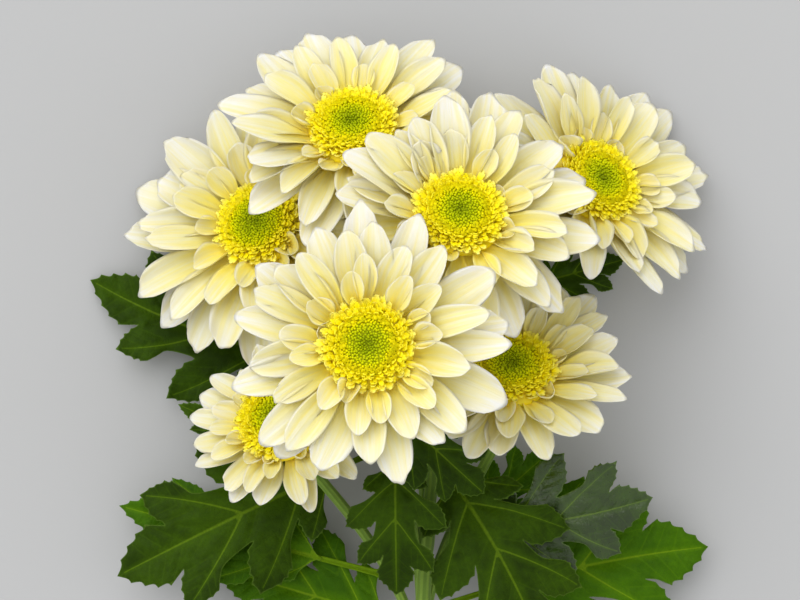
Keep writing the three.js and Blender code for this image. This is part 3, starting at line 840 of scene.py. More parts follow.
@dataclass
class Bloom:
    """One bloom: where its disc's centre is, which way its face looks, and how its petals stand.

    `ways` gives the petals that stand clear of their neighbours: number, bend at the root and turn about the
    bloom in degrees, and share of the length.
    """

    name: str
    centre: tuple[float, float, float]
    tilt: float
    towards: float
    reach: float
    lift: float
    sag: float
    spin: float
    seed: int
    branch: Union[float, None]
    ways: tuple[tuple[int, float, float, float], ...] = ()
    petals: int = 46
    petal_width: float = 12.3
    disc_radius: float = 8.7
    disc_florets: int = 420
    green_radius: float = 6.4

    def to_drawing(self, points: Array) -> Array:
        """Carries points from the bloom's frame, whose +Z is the way that its face looks."""
        towards = math.radians(self.towards)
        hinge = Vector((-math.sin(towards), math.cos(towards), 0))
        turned = np.array(Matrix.Rotation(math.radians(self.tilt), 3, hinge))
        return points @ turned.T + np.array(self.centre)

    def draws(self, number: Array) -> Callable[[int], Array]:
        """The bloom's draws for numbered petals, florets or bracts. An offset picks what a draw is for."""
        return lambda offset: draw(self.seed, number + offset)

    def add_sheets(
        self,
        skin: Skin,
        grid: SheetGrid,
        blades: Blades,
        rows: tuple[Array, Array, Array],
        depth: Array,
        **values: Array,
    ) -> None:
        """Adds blades to a mesh as thin sheets.

        Args:
            skin: The mesh to add to.
            grid: The sheets' grid.
            blades: How the blades stand.
            rows: The share of the length, the half width there, and how far above the middle line.
            depth: How thick the sheets are.
            values: More numbers that the points carry.
        """
        share, half, up = rows
        across = grid.shares()[1]
        points = self.to_drawing(blades.points(share, across * half, up))
        rank, tone = blades.of("rank"), blades.of("tone")
        grid.thicken(skin, points, depth, along=share, across=across, rank=rank, tone=tone, **values)

    def petal_blades(self) -> Blades:
        """The petals from the outermost to the innermost, each set as its way says."""
        number = np.arange(self.petals)
        drawn = self.draws(number)
        rank = number / (self.petals - 1)
        azimuth = np.radians(self.spin + number * GOLDEN_ANGLE + 4 * drawn(0))
        azimuth += np.radians(3.5 * drawn(1300)) * smooth_step(rank, 0.15, 0.4)
        facing = np.maximum(0, -np.sin(azimuth))
        uneven = 0.07 + 0.08 * smooth_step(rank, 0.2, 0.4)
        length = (self.reach - 7) * (1 - 0.78 * rank**1.7) * (1 + uneven * drawn(100))
        width = self.petal_width * (self.reach / USUAL_REACH) * (1 - 0.5 * rank**1.6) * (1 + 0.1 * drawn(200))
        rise = 3 + 46 * rank**1.35 + (self.lift - self.sag * facing) * (1 - rank) + 3 * drawn(300)
        for index, bend, turn, share in self.ways:
            rise[index] += bend
            azimuth[index] += math.radians(turn)
            length[index] *= share
        folded_in = smooth_step(drawn(1000), 0.1, 0.8) * smooth_step(rank, 0.6, 0.95)
        return Blades(
            azimuth=azimuth,
            root_radius=7.4 + 4.3 * rank,
            root_height=-5.6 + 3.5 * rank,
            length=length * (1 - 0.32 * folded_in),
            width=width,
            rise=np.radians(rise - 14 * folded_in),
            curl=np.radians(-6 - 20 * rank + 8 * drawn(400) + 42 * folded_in),
            cup=0.16 + 0.34 * rank + 0.3 * folded_in,
            roll=np.radians(14 * drawn(500)),
            bow=0.1 * drawn(600),
            rank=rank,
            tone=drawn(700),
        )

    def make_petals(self, material: bpy.types.Material) -> None:
        """Builds the petals in their layers and the receptacle that they grow from."""
        skin = Skin(("along", "across", "rank", "tone", "crease", "core"))
        blades = self.petal_blades()
        grid = SheetGrid(20, 14)
        u, v = grid.shares()
        u = u**0.85
        drawn = self.draws(np.arange(self.petals)[:, None, None])
        rank, width = blades.of("rank"), blades.of("width")
        size = width / USUAL_WIDTH
        side = u * (1 - 0.15 * u**6)
        opening = 0.3 + 0.7 * np.sin(np.minimum(side / (0.62 + 0.08 * drawn(780)), 1) * np.pi / 2) ** 1.2
        tip = np.maximum(0, (side - 0.48) / 0.52)
        profile = opening * (1 - tip ** (2.5 + 0.7 * drawn(800))) ** 0.56
        claw = 1 - 0.3 * rank * np.exp(-((side / 0.35) ** 2))
        half = width / 2 * profile * claw
        notch = np.maximum(0, 0.004 + 0.012 * drawn(820))
        teeth = notch * (1 - np.cos(2 * np.pi * (v * (1.1 + 0.35 * drawn(840)) + 0.4 * drawn(860))))
        pointed = 1.75 + 0.35 * drawn(870)
        share = u * (1 - 0.15 * u**6 * np.abs(v) ** pointed) - teeth * u**18
        span = np.sin(np.pi * np.clip(share, 0, 1)) ** 0.6
        fold = 0
        for k, (middle, thick, deep) in enumerate(FOLDS):
            off = (v - middle - 0.13 * drawn(1100 + 20 * k)) / (thick * (1 + 0.2 * drawn(1110 + 20 * k)))
            fold = fold + deep * (1 + 0.45 * drawn(1105 + 20 * k)) * np.exp(-(off**2))
        crease = fold * span
        bend = np.clip((share - 0.55) / 0.45, 0, 1) ** 2
        hood = bend * (1.2 * rank + 0.9 * drawn(900) * (1 - 0.6 * rank)) * size * 1.6
        phase = 3.1 * drawn(920) + 1.1 * np.sign(v)
        flutter = 0.75 * size * np.abs(v) ** 3 * np.sin(2 * np.pi * 1.2 * share + phase) * span
        trough = 2.2 * np.maximum(0, drawn(930)) * size * np.abs(v) ** 4 * span
        cup = blades.of("cup") * (1 + 0.6 * drawn(940))
        channel = cup * half * v * v * (1 + 0.9 * (1 - share) * rank)
        up = channel - 0.6 * size * crease + hood + flutter + trough
        depth = (0.34 - 0.06 * rank) * thinned(u, v)
        self.add_sheets(skin, grid, blades, (share, half, up), depth, crease=crease)
        core, faces = lathe(RECEPTACLE, 48)
        skin.add(self.to_drawing(core), faces, rank=1.0, core=1.0)
        skin.piece(f"{self.name}_petal_layers", f"{self.name}_petals", Slot.PETALS, material)

    def make_ring(self, material: bpy.types.Material) -> None:
        """Builds the crown of short narrow florets round the disc, in six rows that turn paler outwards."""
        skin = Skin(("along", "across", "rank", "tone"))
        grid = SheetGrid(7, 6)
        u, v = grid.shares()
        share = u * (1 - 0.16 * u**4 * v**2) - 0.05 * u**8 * (1 - np.cos(3 * np.pi * v))
        depth = 0.28 * thinned(u, v)
        for k, (count, radius, height, rise, length, width) in enumerate(RING_ROWS):
            number = np.arange(count)
            drawn = self.draws(number + 2000 + 50 * k)
            blades = Blades(
                azimuth=2 * np.pi * (number + 0.5 * k + 0.45 * drawn(0)) / count,
                root_radius=radius + 0.25 * drawn(100),
                root_height=height,
                length=length * (1 + 0.32 * drawn(200)),
                width=width * (1 + 0.2 * drawn(400)),
                rise=np.radians(rise + 13 * drawn(600)),
                curl=np.radians(-6 + 30 * drawn(800)),
                cup=0.5 + 0.25 * drawn(1000),
                roll=np.radians(20 * drawn(1200)),
                bow=0.14 * drawn(1400),
                rank=max(0.0, (k - 3) / 2),
                tone=drawn(1600),
            )
            half = blades.of("width") / 2 * (0.6 + 0.4 * np.sin(np.pi / 2 * u) ** 1.4) * (1 - 0.6 * u**5)
            up = blades.of("cup") * half * v * v * (1.25 - 0.5 * u) + 0.35 * u**3
            self.add_sheets(skin, grid, blades, (share, half, up), depth)
        skin.piece(f"{self.name}_ring_florets", f"{self.name}_ring", Slot.RING, material)

    def disc_height(self, radius: Union[float, Array]) -> Array:
        """The height of the disc's dome, with its dimple."""
        share = np.clip(radius / (self.disc_radius + 0.05), 0, 0.999)
        return 2.6 * np.sqrt(1 - share**4) - 1.1 * np.exp(-((radius / 2.7) ** 2))

    def make_disc(self, material: bpy.types.Material) -> None:
        """Builds the dome of packed florets: closed buds in the middle, open ones with lobes at the rim."""
        skin = Skin(("along", "age", "tone"))
        top = zip(DOME_RADII, self.disc_height(DOME_RADII))
        points, faces = lathe([(0, -0.4), (8.6, -0.4), *top, (0, self.disc_height(0.01))], 40)
        ripe = USUAL_GREEN / (self.disc_radius * self.green_radius)
        skin.add(self.to_drawing(points), faces, age=np.hypot(points[:, 0], points[:, 1]) * ripe)
        bud, lobed = lathe(BUD_FLORET, 6), lathe(OPEN_FLORET, 10)
        lobed[0][20:30] *= np.array([[1.75, 1.75, 1], [0.92, 0.92, 1]] * 5)
        lobed[0][20:30:2, 2] += 0.12
        number = np.arange(self.disc_florets)
        drawn = self.draws(number)
        radius = (self.disc_radius - 0.35) * np.sqrt((number + 0.5) / self.disc_florets) + 0.2 * drawn(2600)
        radius = np.maximum(0.05, radius)
        angle = np.radians(number * GOLDEN_ANGLE + 50 * self.spin) + 0.22 * drawn(2200) / radius
        slope = (self.disc_height(radius + 0.2) - self.disc_height(np.maximum(0, radius - 0.2))) / 0.4
        lean = np.arctan(-slope) * 0.75 + 0.12 * drawn(3000)
        opened = radius + 0.5 * drawn(3400) > self.green_radius
        size = (0.76 + 0.12 * radius / self.disc_radius) * (1 + 0.14 * drawn(3800))
        tall = size * (np.where(opened, 1.2, 1.0) * (1 + 0.2 * drawn(3600)))
        spots = np.stack([radius * np.cos(angle), radius * np.sin(angle), self.disc_height(radius)], -1)
        age = radius * ripe + 0.05 * drawn(4200)
        tone = drawn(4600)
        for n in number:
            form, faces = lobed if opened[n] else bud
            turn = np.array(Matrix.Rotation(angle[n], 3, "Z") @ Matrix.Rotation(lean[n], 3, "Y"))
            points = form * [size[n], size[n], tall[n]] @ turn.T + spots[n]
            along = np.clip(form[:, 2], 0, 1)
            skin.add(self.to_drawing(points), faces, along=along, age=age[n], tone=tone[n])
        skin.piece(f"{self.name}_disc_florets", f"{self.name}_disc", Slot.DISC, material)

    def make_calyx(self, material: bpy.types.Material) -> None:
        """Builds the cup and its three rows of overlapping bracts."""
        skin = Skin(("along", "across", "tone"))
        points, faces = lathe(CUP, 32)
        skin.add(self.to_drawing(points), faces, along=0.2, across=0.4)
        grid = SheetGrid(10, 7)
        u, v = grid.shares()
        for k, (count, radius, height, rise, curl, length, width) in enumerate(BRACT_ROWS):
            number = np.arange(count)
            drawn = self.draws(number + 5000 + 40 * k)
            blades = Blades(
                azimuth=2 * np.pi * (number + 0.5 * k + 0.1 * drawn(0)) / count,
                root_radius=radius,
                root_height=height,
                length=length * (1 + 0.08 * drawn(200)),
                width=width * (1 + 0.08 * drawn(400)),
                rise=np.radians(rise + 3 * drawn(600)),
                curl=np.radians(curl + 4 * drawn(800)),
                cup=0.32,
                roll=np.radians(5 * drawn(1000)),
                bow=0.04 * drawn(1200),
                rank=0,
                tone=drawn(1400),
            )
            half = blades.of("width") / 2 * (0.7 + 0.3 * np.sin(np.pi * u)) * (1 - u**3.2) ** 0.62
            half = np.maximum(half, 0.02 * blades.of("width"))
            up = blades.of("cup") * half * v * v - 0.12 * np.exp(-((v / 0.25) ** 2)) * np.sin(np.pi * u)
            self.add_sheets(skin, grid, blades, (u, half, up), 0.3 * np.sqrt(np.maximum(0, 1 - v**2)))
        skin.piece(f"{self.name}_calyx_bracts", f"{self.name}_calyx", Slot.CALYX, material)


BLOOMS = (
    Bloom("left", (-40.5, 22, 24), 30, 135, 43, 10, 16, 29, 1, -88, (
        (0, 5, 0, 0.6), (8, -15, 0, 1), (13, -10, -6, 1), (21, 26, 0, 1),
    ), green_radius=7.8),
    Bloom("right", (57, 34, 27), 39, 40, 38.5, 10, -5, 40, 2, -80),
    Bloom("lower_left", (-33.5, -33.5, 46), 34, 113, 27, 5, 7, 190, 73, -112, (
        (2, -20, 0, 1), (4, -20, 0, 1), (10, -26, 0, 1), (15, -26, 0, 1), (20, -15, 0, 1), (23, 15, 0, 1),
        (28, -5, 0, 1), (36, 5, 0, 1),
    ), green_radius=7.2),
    Bloom("lower_right", (31.5, -19, 44), 39, 90, 34.5, 15, 5, 75, 249, -104, (
        (3, 26, 6, 1), (11, 5, 0, 1), (24, 10, 0, 1),
    ), green_radius=7.0),
    Bloom("top", (-13.5, 49.5, 39), 36, 96, 38.5, 2, 8, 205, 5, -70, (
        (0, 26, 6, 1), (1, -5, 0, 1), (5, 20, 0, 1), (6, -15, 0, 1), (8, 5, 0, 1), (13, 26, 0, 1),
        (21, 5, 0, 1), (26, 10, 0, 1), (34, -15, 6, 1), (42, 0, 6, 1),
    )),
    Bloom("front", (-8.7, -12.3, 84), 10, 90, 39, 5, -4, 95, 28, -96),
    Bloom("middle", (16.5, 24, 64), 29, 80, 38.5, 6, 22, 325, 34, None, (
        (1, 26, -6, 1), (2, -10, 0, 1), (4, 20, 0, 1), (6, 5, 0, 1), (9, 26, 0, 0.6), (12, 5, 0, 1),
        (15, -5, 0, 1), (17, 15, 0, 1), (18, -5, 0, 1), (20, -5, 0, 1), (22, 15, 0, 1), (23, -20, 0, 1),
        (28, -20, 0, 1), (30, 10, 0, 1), (31, -20, 0, 1), (36, -26, 0, 0.88), (39, -15, 0, 1),
        (41, -20, 0, 1),
    )),
)


# Stem


@dataclass
class Stem:
    """The main stem and its seven flower branches."""

    line: tuple[tuple[float, float, float], ...] = (
        (-2, -360, 3.1),
        (3, -280, 3.4),
        (6, -200, 6),
        (6, -130, 12),
        (7, -80, 18),
        (10, -40, 24),
    )
    thick: float = 3.1
    thin: float = 1.8
    branch_radius: float = 1.7
    neck: float = 24.0
    calyx_bottom: float = -13.2
    ribs: int = 7
    rib_depth: float = 0.045
    rib_twist: float = 0.006
    knot: float = 0.28
    knot_reach: float = 3.2
    sides: int = 35
    leaf_places: tuple[float, ...] = (-44, -66, -134, -168, -206)

    def main_points(self, steps: int = 40) -> Array:
        """Points along the main stem's smooth line, with the same number in each of its spans."""
        given = np.array(self.line, float)
        ends = np.concatenate([[2 * given[0] - given[1]], given, [2 * given[-1] - given[-2]]])
        t = np.linspace(0, 1, steps, endpoint=False)[:, None]
        spans = []
        for before, start, end, after in zip(ends, ends[1:], ends[2:], ends[3:]):
            gaps = start - before, end - start, after - end
            one, two, three = (np.sqrt(np.linalg.norm(gap)) for gap in gaps)
            first = two * ((start - before) / one - (end - before) / (one + two) + (end - start) / two)
            last = two * ((end - start) / two - (after - start) / (two + three) + (after - end) / three)
            square = -3 * start + 3 * end - 2 * first - last
            cube = 2 * start - 2 * end + first + last
            spans.append(start + first * t + square * t * t + cube * t**3)
        return np.concatenate([*spans, given[-1:]])

    def branch_points(self, bloom: Bloom, steps: int = 60) -> Array:
        """Points along a flower branch, from the main stem to the back of its bloom."""
        below = np.array([[0, 0, self.calyx_bottom - 0.1], [0, 0, self.calyx_bottom - self.neck]])
        end, neck = bloom.to_drawing(below)
        main = self.main_points()
        start = main[-1]
        if bloom.branch is not None:
            start = np.array([np.interp(bloom.branch, main[:, 1], values) for values in main.T])
        ahead = start + np.array([0, 0.42 * np.linalg.norm(end - start), 0])
        t = np.linspace(0, 1, steps)[:, None]
        return (1 - t) ** 3 * start + 3 * (1 - t) ** 2 * t * ahead + 3 * (1 - t) * t * t * neck + t**3 * end

    def add_tube(self, skin: Skin, line: Array, radius: Array, old: Array, seed: int, pith: bool) -> None:
        """Adds a ribbed tube along a line.

        Args:
            skin: The mesh to add to.
            line: The points that it follows.
            radius: Its radius at each point.
            old: How brown it is at each point, 0 to 1.
            seed: How its ribs are turned.
            pith: Whether its first end is a cut that shows the pith.
        """
        run = run_along(line)[:, None]
        tangent = np.gradient(line, axis=0)
        tangent /= np.linalg.norm(tangent, axis=1, keepdims=True)
        side = np.cross(tangent, [0, 0, 1.0])
        side /= np.linalg.norm(side, axis=1, keepdims=True)
        angle = 2 * np.pi * np.arange(self.sides) / self.sides
        ribbed = self.ribs * (angle + self.rib_twist * run + seed)
        rib = np.cos(ribbed) + 0.35 * np.cos(2 * ribbed + 1)
        spread = radius[:, None] * (1 + self.rib_depth * rib)
        east, north = (spread * np.cos(angle))[..., None], (spread * np.sin(angle))[..., None]
        rings = line[:, None] + east * side[:, None] + north * np.cross(side, tangent)[:, None]
        first = [
            line[0] + (rings[0] - line[0]) * share + tangent[0] * 0.5 * (1 - share) for share in (0.45, 0.82)
        ]
        last = line[-1] + (rings[-1] - line[-1]) * 0.6 + tangent[-1] * 0.1
        stack = np.concatenate([first, rings, [last]])
        middles = [line[0] + tangent[0] * 0.5, line[-1] + tangent[-1] * 0.15]

        def full(value: Array) -> Array:
            """A value for every vertex, with none on the rings and middles of the ends."""
            return np.append(np.pad(np.broadcast_to(value, rib.shape), ((2, 1), (0, 0))), [0, 0])

        cut = np.zeros(stack.shape[0] * self.sides + 2)
        cut[: 2 * self.sides] = pith
        cut[-2] = pith
        skin.add(
            np.concatenate([stack.reshape(-1, 3), middles]),
            tube_faces(len(stack), self.sides),
            rib=full(rib),
            across=full(np.cos(angle) * 1.5),
            along=full(run / 30),
            old=full(old[:, None]),
            pith=cut,
        )

    def make(self, material: bpy.types.Material) -> None:
        """Builds the stem as one ribbed piece with its cut end."""
        skin = Skin(("along", "across", "rib", "old", "pith"))
        main = self.main_points()
        share = run_along(main) / run_along(main)[-1]
        radius = self.thick + (self.thin - self.thick) * share
        for place in [*(bloom.branch for bloom in BLOOMS if bloom.branch is not None), *self.leaf_places]:
            radius += self.knot * np.exp(-(((main[:, 1] - place) / self.knot_reach) ** 2))
        self.add_tube(skin, main, radius, smooth_step(1 - share, 0.45, 1.0), 0, True)
        for k, bloom in enumerate(BLOOMS):
            line = self.branch_points(bloom)
            run = run_along(line)
            left = run[-1] - run
            slim = self.branch_radius * (0.9 + 0.25 * np.exp(-run / 7) + 0.42 * np.exp(-((left / 5.5) ** 2)))
            self.add_tube(skin, line, slim, 0 * run, k + 1, False)
        skin.piece("stem_and_branches", "stem", Slot.STEM, material)


# Leaves

# Outlines: shares along and out, and 1 for a sharp corner. A lobe's are of its own length and half width.
LOBE_EDGE = (
    (0.42, 0.66, 0), (0.56, 0.84, 0), (0.70, 1.0, 1), (0.728, 0.91, 0), (0.79, 0.91, 1), (0.803, 0.76, 0),
    (0.872, 0.70, 1), (0.885, 0.54, 0), (0.952, 0.40, 1), (0.96, 0.26, 0), (1.04, 0.02, 1), (0.965, -0.16, 0),
    (0.955, -0.38, 1), (0.89, -0.46, 0), (0.87, -0.64, 1), (0.80, -0.68, 0), (0.775, -0.86, 1),
    (0.705, -0.82, 0), (0.66, -0.94, 1), (0.50, -0.7, 0),
)
FOOT_EDGE = ((0.0, 0.014, 0), (0.03, 0.016, 0))
TIP_EDGE = (
    (0.735, 0.098, 0), (0.765, 0.114, 0), (0.80, 0.132, 1), (0.808, 0.115, 0), (0.855, 0.116, 1),
    (0.861, 0.094, 0), (0.905, 0.086, 1), (0.91, 0.062, 0), (0.955, 0.05, 1), (0.958, 0.03, 0), (1.0, 0.0, 1),
)

# The blade that the leaves' relief was set at, in millimetres.
USUAL_BLADE = 65

# Small veins: root and tip, each as shares along and out.
LOBE_VEINS = np.array([
    [(0.40, 0.05), (0.70, 0.90)], [(0.42, 0.0), (0.68, -0.8)], [(0.58, 0.04), (0.80, 0.84)],
    [(0.60, 0.0), (0.81, -0.68)], [(0.74, 0.03), (0.9, 0.56)], [(0.76, 0.0), (0.9, -0.44)],
])
BLADE_VEINS = np.array([
    [(0.68, 0), (0.785, 0.122)], [(0.76, 0), (0.84, 0.116)], [(0.84, 0), (0.885, 0.088)],
    [(0.34, 0), (0.44, 0.115)], [(0.57, 0), (0.68, 0.074)], [(0.16, 0), (0.24, 0.085)],
])


def arc(start: Array, ahead: Array, end: Array, shares: Array) -> Array:
    """Points of a curve that leaves its start towards a point ahead and ends coming from there."""
    t = np.asarray(shares)[:, None]
    return (1 - t) ** 2 * start + 2 * (1 - t) * t * ahead + t * t * end


@dataclass
class Leaf:
    """One leaf: foot, heading and length in the drawing frame, its curves, and the seed of its small changes.

    `lobes` gives those of each side: root along the midrib, angle in degrees, length and half width.
    """

    name: str
    foot: tuple[float, float, float]
    heading: float
    length: float
    rise: float
    bend: float
    roll: float
    bow: float
    wide: float
    stalk: float
    seed: int
    age: Age = Age.MATURE
    lobes: tuple[Lobe, ...] = ((0.08, 62, 0.25, 0.066), (0.22, 50, 0.42, 0.1), (0.48, 41, 0.38, 0.09))
    stalk_end: float = 0.16
    sides: int = 16

    @property
    def blade(self) -> float:
        """The length of the blade without its stalk."""
        return self.length * (1 - self.stalk)

    @property
    def scale(self) -> Array:
        """What shares of the blade are multiplied by, along and across."""
        return np.array([self.blade, self.blade * self.wide])

    @property
    def size(self) -> float:
        """How large the veins and the relief are, 1 on the usual blade."""
        return max(0.5, self.blade / USUAL_BLADE)

    def place(self, x: Array, y: Array, lift: Array) -> Array:
        """Points of the leaf in the drawing frame.

        Args:
            x: Along the midrib from the blade's foot, as a share of the blade.
            y: Across it, as a share of the blade.
            lift: How far above the leaf's middle surface, in millimetres.

        Returns:
            The points, one row each.
        """
        share = np.maximum(0, (self.length * self.stalk + x * self.blade) / self.length)
        start, bend = math.radians(self.rise), math.radians(self.bend)
        now = start + bend * share
        forward = self.length * (np.sin(now) - math.sin(start)) / bend
        height = -self.length * (np.cos(now) - math.cos(start)) / bend
        across = y * self.scale[1]
        wave = np.sin(9 * x + 3 * np.sign(y) + self.seed) * np.minimum(1, (y / 0.25) ** 2)
        fold = 0.22 * np.abs(across) - 0.9 * across**2 / self.blade + 0.035 * self.blade * wave + lift
        side, up = rotated(across, fold, math.radians(self.roll))
        side = side + 4 * self.bow * self.length * share * (1 - share)
        turned = rotated(forward - up * np.sin(now), side, math.radians(self.heading))
        return np.stack([*turned, height + up * np.cos(now)], -1) + self.foot

    def side_lobes(self, side: int) -> list[Lobe]:
        """The lobes of one side with their small changes."""
        changed = []
        for k, (root, angle, length, half) in enumerate(self.lobes):
            pick = draw(self.seed, 10 * k + 3 * side + np.arange(4) + 40)
            sizes = length * (1 + 0.05 * pick[2]), half * (1 + 0.06 * pick[3])
            changed.append((root + 0.008 * pick[0], angle + 2.5 * pick[1], *sizes))
        return changed

    @staticmethod
    def lobe_point(lobe: Lobe, along: float, out: float) -> Array:
        """A point of a lobe, along it from its root and out from its middle line, as shares of its size."""
        root, angle, length, half = lobe
        x, y = rotated(along * length, out * half, math.radians(angle))
        return np.array([root + x, y])

    def side_edge(self, side: int) -> Array:
        """One side's outline from stalk to tip, toothed, with its corners rounded between the teeth."""
        corners = [(np.array(corner[:2]), corner[2]) for corner in FOOT_EDGE]
        for k, lobe in enumerate(self.side_lobes(side)):
            for j, (along, out, sharp) in enumerate(LOBE_EDGE):
                nudge = draw(self.seed, 100 * k + 5 * j + 37 * side + np.array([0, 2]))
                spot = self.lobe_point(lobe, along + 0.01 * nudge[0], out + 0.05 * nudge[1])
                corners.append((spot, sharp))
        corners += [(np.array(corner[:2]), corner[2]) for corner in TIP_EDGE]
        path = [corners[0][0]]
        for (before, _), (here, sharp), (after, _) in zip(corners, corners[1:], corners[2:]):
            if sharp:
                path.append(here)
            else:
                start, end = before + 0.55 * (here - before), here + 0.45 * (after - here)
                path.extend(arc(start, here, end, (0.0, 0.33, 0.67, 1.0)))
        path.append(corners[-1][0])
        return without_loops(np.array(path))

    def veins(self) -> tuple[list[Line], list[Line]]:
        """The vein lines of both sides.

        Returns:
            The main lines and the small ones, each with its half width at its start and end in millimetres.
        """
        main = [(np.stack([np.linspace(-0.02, 0.965, 48), np.zeros(48)], -1), 0.5, 0.08)]
        small = []
        t = np.linspace(0, 1, 16)
        for side in (1, -1):
            pairs = [*BLADE_VEINS]
            for k, lobe in enumerate(self.side_lobes(side)):
                start = np.array([lobe[0] - 0.07, 0.0])
                line = arc(start, self.lobe_point(lobe, 0.45, 0.5), self.lobe_point(lobe, 0.96, 0.05), t)
                main.append((line * [1, side], 0.22 if k else 0.17, 0.03))
                pairs += [[self.lobe_point(lobe, *end) for end in pair] for pair in LOBE_VEINS]
            small += [((a + (b - a) * t[::2, None]) * [1, side], 0.16, 0.08) for a, b in pairs]
        return main, small

    def distance(self, points: Array, lines: Sequence[Line]) -> tuple[Array, Array]:
        """How far points are from the nearest line.

        Args:
            points: Points on the blade, in millimetres.
            lines: The lines in shares of the blade, each with its half width at its start and its end.

        Returns:
            The distances in millimetres, and in the half widths of the line that is nearest by that measure.
        """
        plain = np.full(len(points), 99.0)
        scaled = plain.copy()
        for line, first, last in lines:
            spots = line * self.scale
            for k, (start, end) in enumerate(zip(spots, spots[1:])):
                run = end - start
                share = np.clip((points - start) @ run / max(float(run @ run), 1e-9), 0, 1)
                away = np.linalg.norm(points - start - share[:, None] * run, axis=1)
                half = self.size * (first + (last - first) * (k + share) / (len(spots) - 1))
                plain = np.minimum(plain, away)
                scaled = np.minimum(scaled, away / half)
        return plain, scaled

    def flat_mesh(self) -> tuple[Array, Array, Array]:
        """The blade laid flat, in millimetres.

        Returns:
            Its points, its triangles, and the outline.
        """
        upper, lower = self.side_edge(1), self.side_edge(-1) * [1, -1]
        outline = np.concatenate([lower[:-1], upper[::-1]]) * self.scale
        spots = [*outline]
        edges = []
        main, small = self.veins()
        for line, _, _ in main + small:
            edges += [(len(spots) + k, len(spots) + k + 1) for k in range(len(line) - 1)]
            spots += [*(line * self.scale)]
        pitch = 0.92 * max(0.6, self.blade / USUAL_BLADE)
        low, high = outline.min(0), outline.max(0)
        columns, rows = (int(count) + 1 for count in (high - low) / [pitch, pitch * 0.866])
        j, i = np.meshgrid(np.arange(rows), np.arange(columns), indexing="ij")
        shift = 0.18 * pitch
        x = low[0] + (i + 0.5 * (j % 2)) * pitch + shift * draw(self.seed, 7 * i + 131 * j)
        y = low[1] + j * pitch * 0.866 + shift * draw(self.seed + 1, 11 * i + 137 * j)
        filling = np.stack([x.ravel(), y.ravel()], -1)
        filling = filling[inside(filling, outline)]
        taken = np.array(spots)
        near = np.array([np.min(np.sum((taken - spot) ** 2, axis=1)) for spot in filling])
        spots += [*filling[near > (0.55 * pitch) ** 2]]
        corners, _, faces, *_ = delaunay_2d_cdt(
            [Vector(spot) for spot in spots], edges, [list(range(len(outline)))], 1, 1e-4, False
        )
        points, triangles = np.array([tuple(corner) for corner in corners]), np.array(faces)
        triangles = triangles[inside(points[triangles].mean(axis=1), outline)]
        used, numbers = np.unique(triangles, return_inverse=True)
        return points[used], numbers.reshape(-1, 3), outline

    def add_stalk(self, skin: Skin) -> None:
        """Adds the stalk: a tube, channelled above, that runs on under the blade's foot."""
        start = -self.stalk / (1 - self.stalk)
        stations = np.linspace(start, self.stalk_end, 26)[:, None]
        size = max(0.5, min(1, self.length / 60))
        angle = 2 * np.pi * np.arange(self.sides) / self.sides
        half = np.interp(stations, [start, start + 0.02, 0, self.stalk_end], [1.35, 1.0, 0.8, 0.3]) * size
        over = np.sin(angle)
        form = np.where(over > 0, over * 0.35 - 0.3 * np.exp(-((np.cos(angle) / 0.35) ** 2)), over)
        rings = self.place(stations, np.cos(angle) * half / self.scale[1], form * half - 0.2)
        ends = self.place(stations[[0, -1], 0], np.zeros(2), np.full(2, -0.4 * size))
        blocks = tube_faces(len(stations), self.sides)
        faces = [np.concatenate([block[:, :1], block[:, :0:-1]], 1) for block in blocks]
        points = np.concatenate([rings.reshape(-1, 3), ends])
        skin.add(points, faces, vein_main=0.7, vein_small=9.0, edge=9.0)

    def make(self, material: bpy.types.Material) -> None:
        """Builds the leaf: a thin blade with sunk veins, ribs beneath, and its stalk."""
        skin = Skin(("vein_main", "vein_small", "edge", "under"))
        flat, triangles, outline = self.flat_mesh()
        main, small = self.veins()
        near_main, to_main = self.distance(flat, main)
        near_small, to_small = self.distance(flat, small)
        loop = np.concatenate([outline, outline[:1]]) / self.scale
        to_edge = self.distance(flat, [(loop, 1.0, 1.0)])[0]
        corner = flat[triangles]
        turned = np.cross(corner[:, 1] - corner[:, 0], corner[:, 2] - corner[:, 0]) < 0
        triangles[turned] = triangles[turned][:, ::-1]
        groove = 0.3 * np.exp(-((near_main / 0.8) ** 2)) + 0.16 * np.exp(-((near_small / 0.7) ** 2))
        quilt = 0.85 * smooth_step(np.minimum(near_main, near_small * 1.3 + 0.4), 0.3, 4.6 * self.size)
        lift = self.size * (quilt - groove) * smooth_step(to_edge, 0.0, 2.0)
        x, y = (flat / self.scale).T
        ruffle = 0.5 * self.size * np.sin(31 * x + 17 * y + self.seed) * np.exp(-((to_edge / 2.6) ** 2))
        above = lift + ruffle
        rib = 0.75 * np.exp(-((near_main / 1.0) ** 2)) * (1.15 - x) + 0.2 * np.exp(-((near_small / 0.8) ** 2))
        rib = self.size * rib * smooth_step(to_edge, 0.0, 1.5)
        depth = 0.14 + 0.22 * smooth_step(to_edge, 0.0, 1.2) + rib
        total = len(flat)
        sides = np.concatenate([triangles[:, [0, 1]], triangles[:, [1, 2]], triangles[:, [2, 0]]]).tolist()
        known = {tuple(side) for side in sides}
        rim = np.array([side for side in sides if (side[1], side[0]) not in known])
        walls = np.stack([rim[:, 0], rim[:, 0] + total, rim[:, 1] + total, rim[:, 1]], -1)
        skin.add(
            np.concatenate([self.place(x, y, above), self.place(x, y, above - depth)]),
            [triangles, triangles[:, ::-1] + total, walls],
            vein_main=np.tile(to_main, 2),
            vein_small=np.tile(to_small, 2),
            edge=np.tile(to_edge, 2),
            under=np.repeat([0.0, 1.0], total),
        )
        self.add_stalk(skin)
        skin.piece(f"{self.name}_veined_leaf", f"leaf_{self.name}", Slot.LEAF, material)


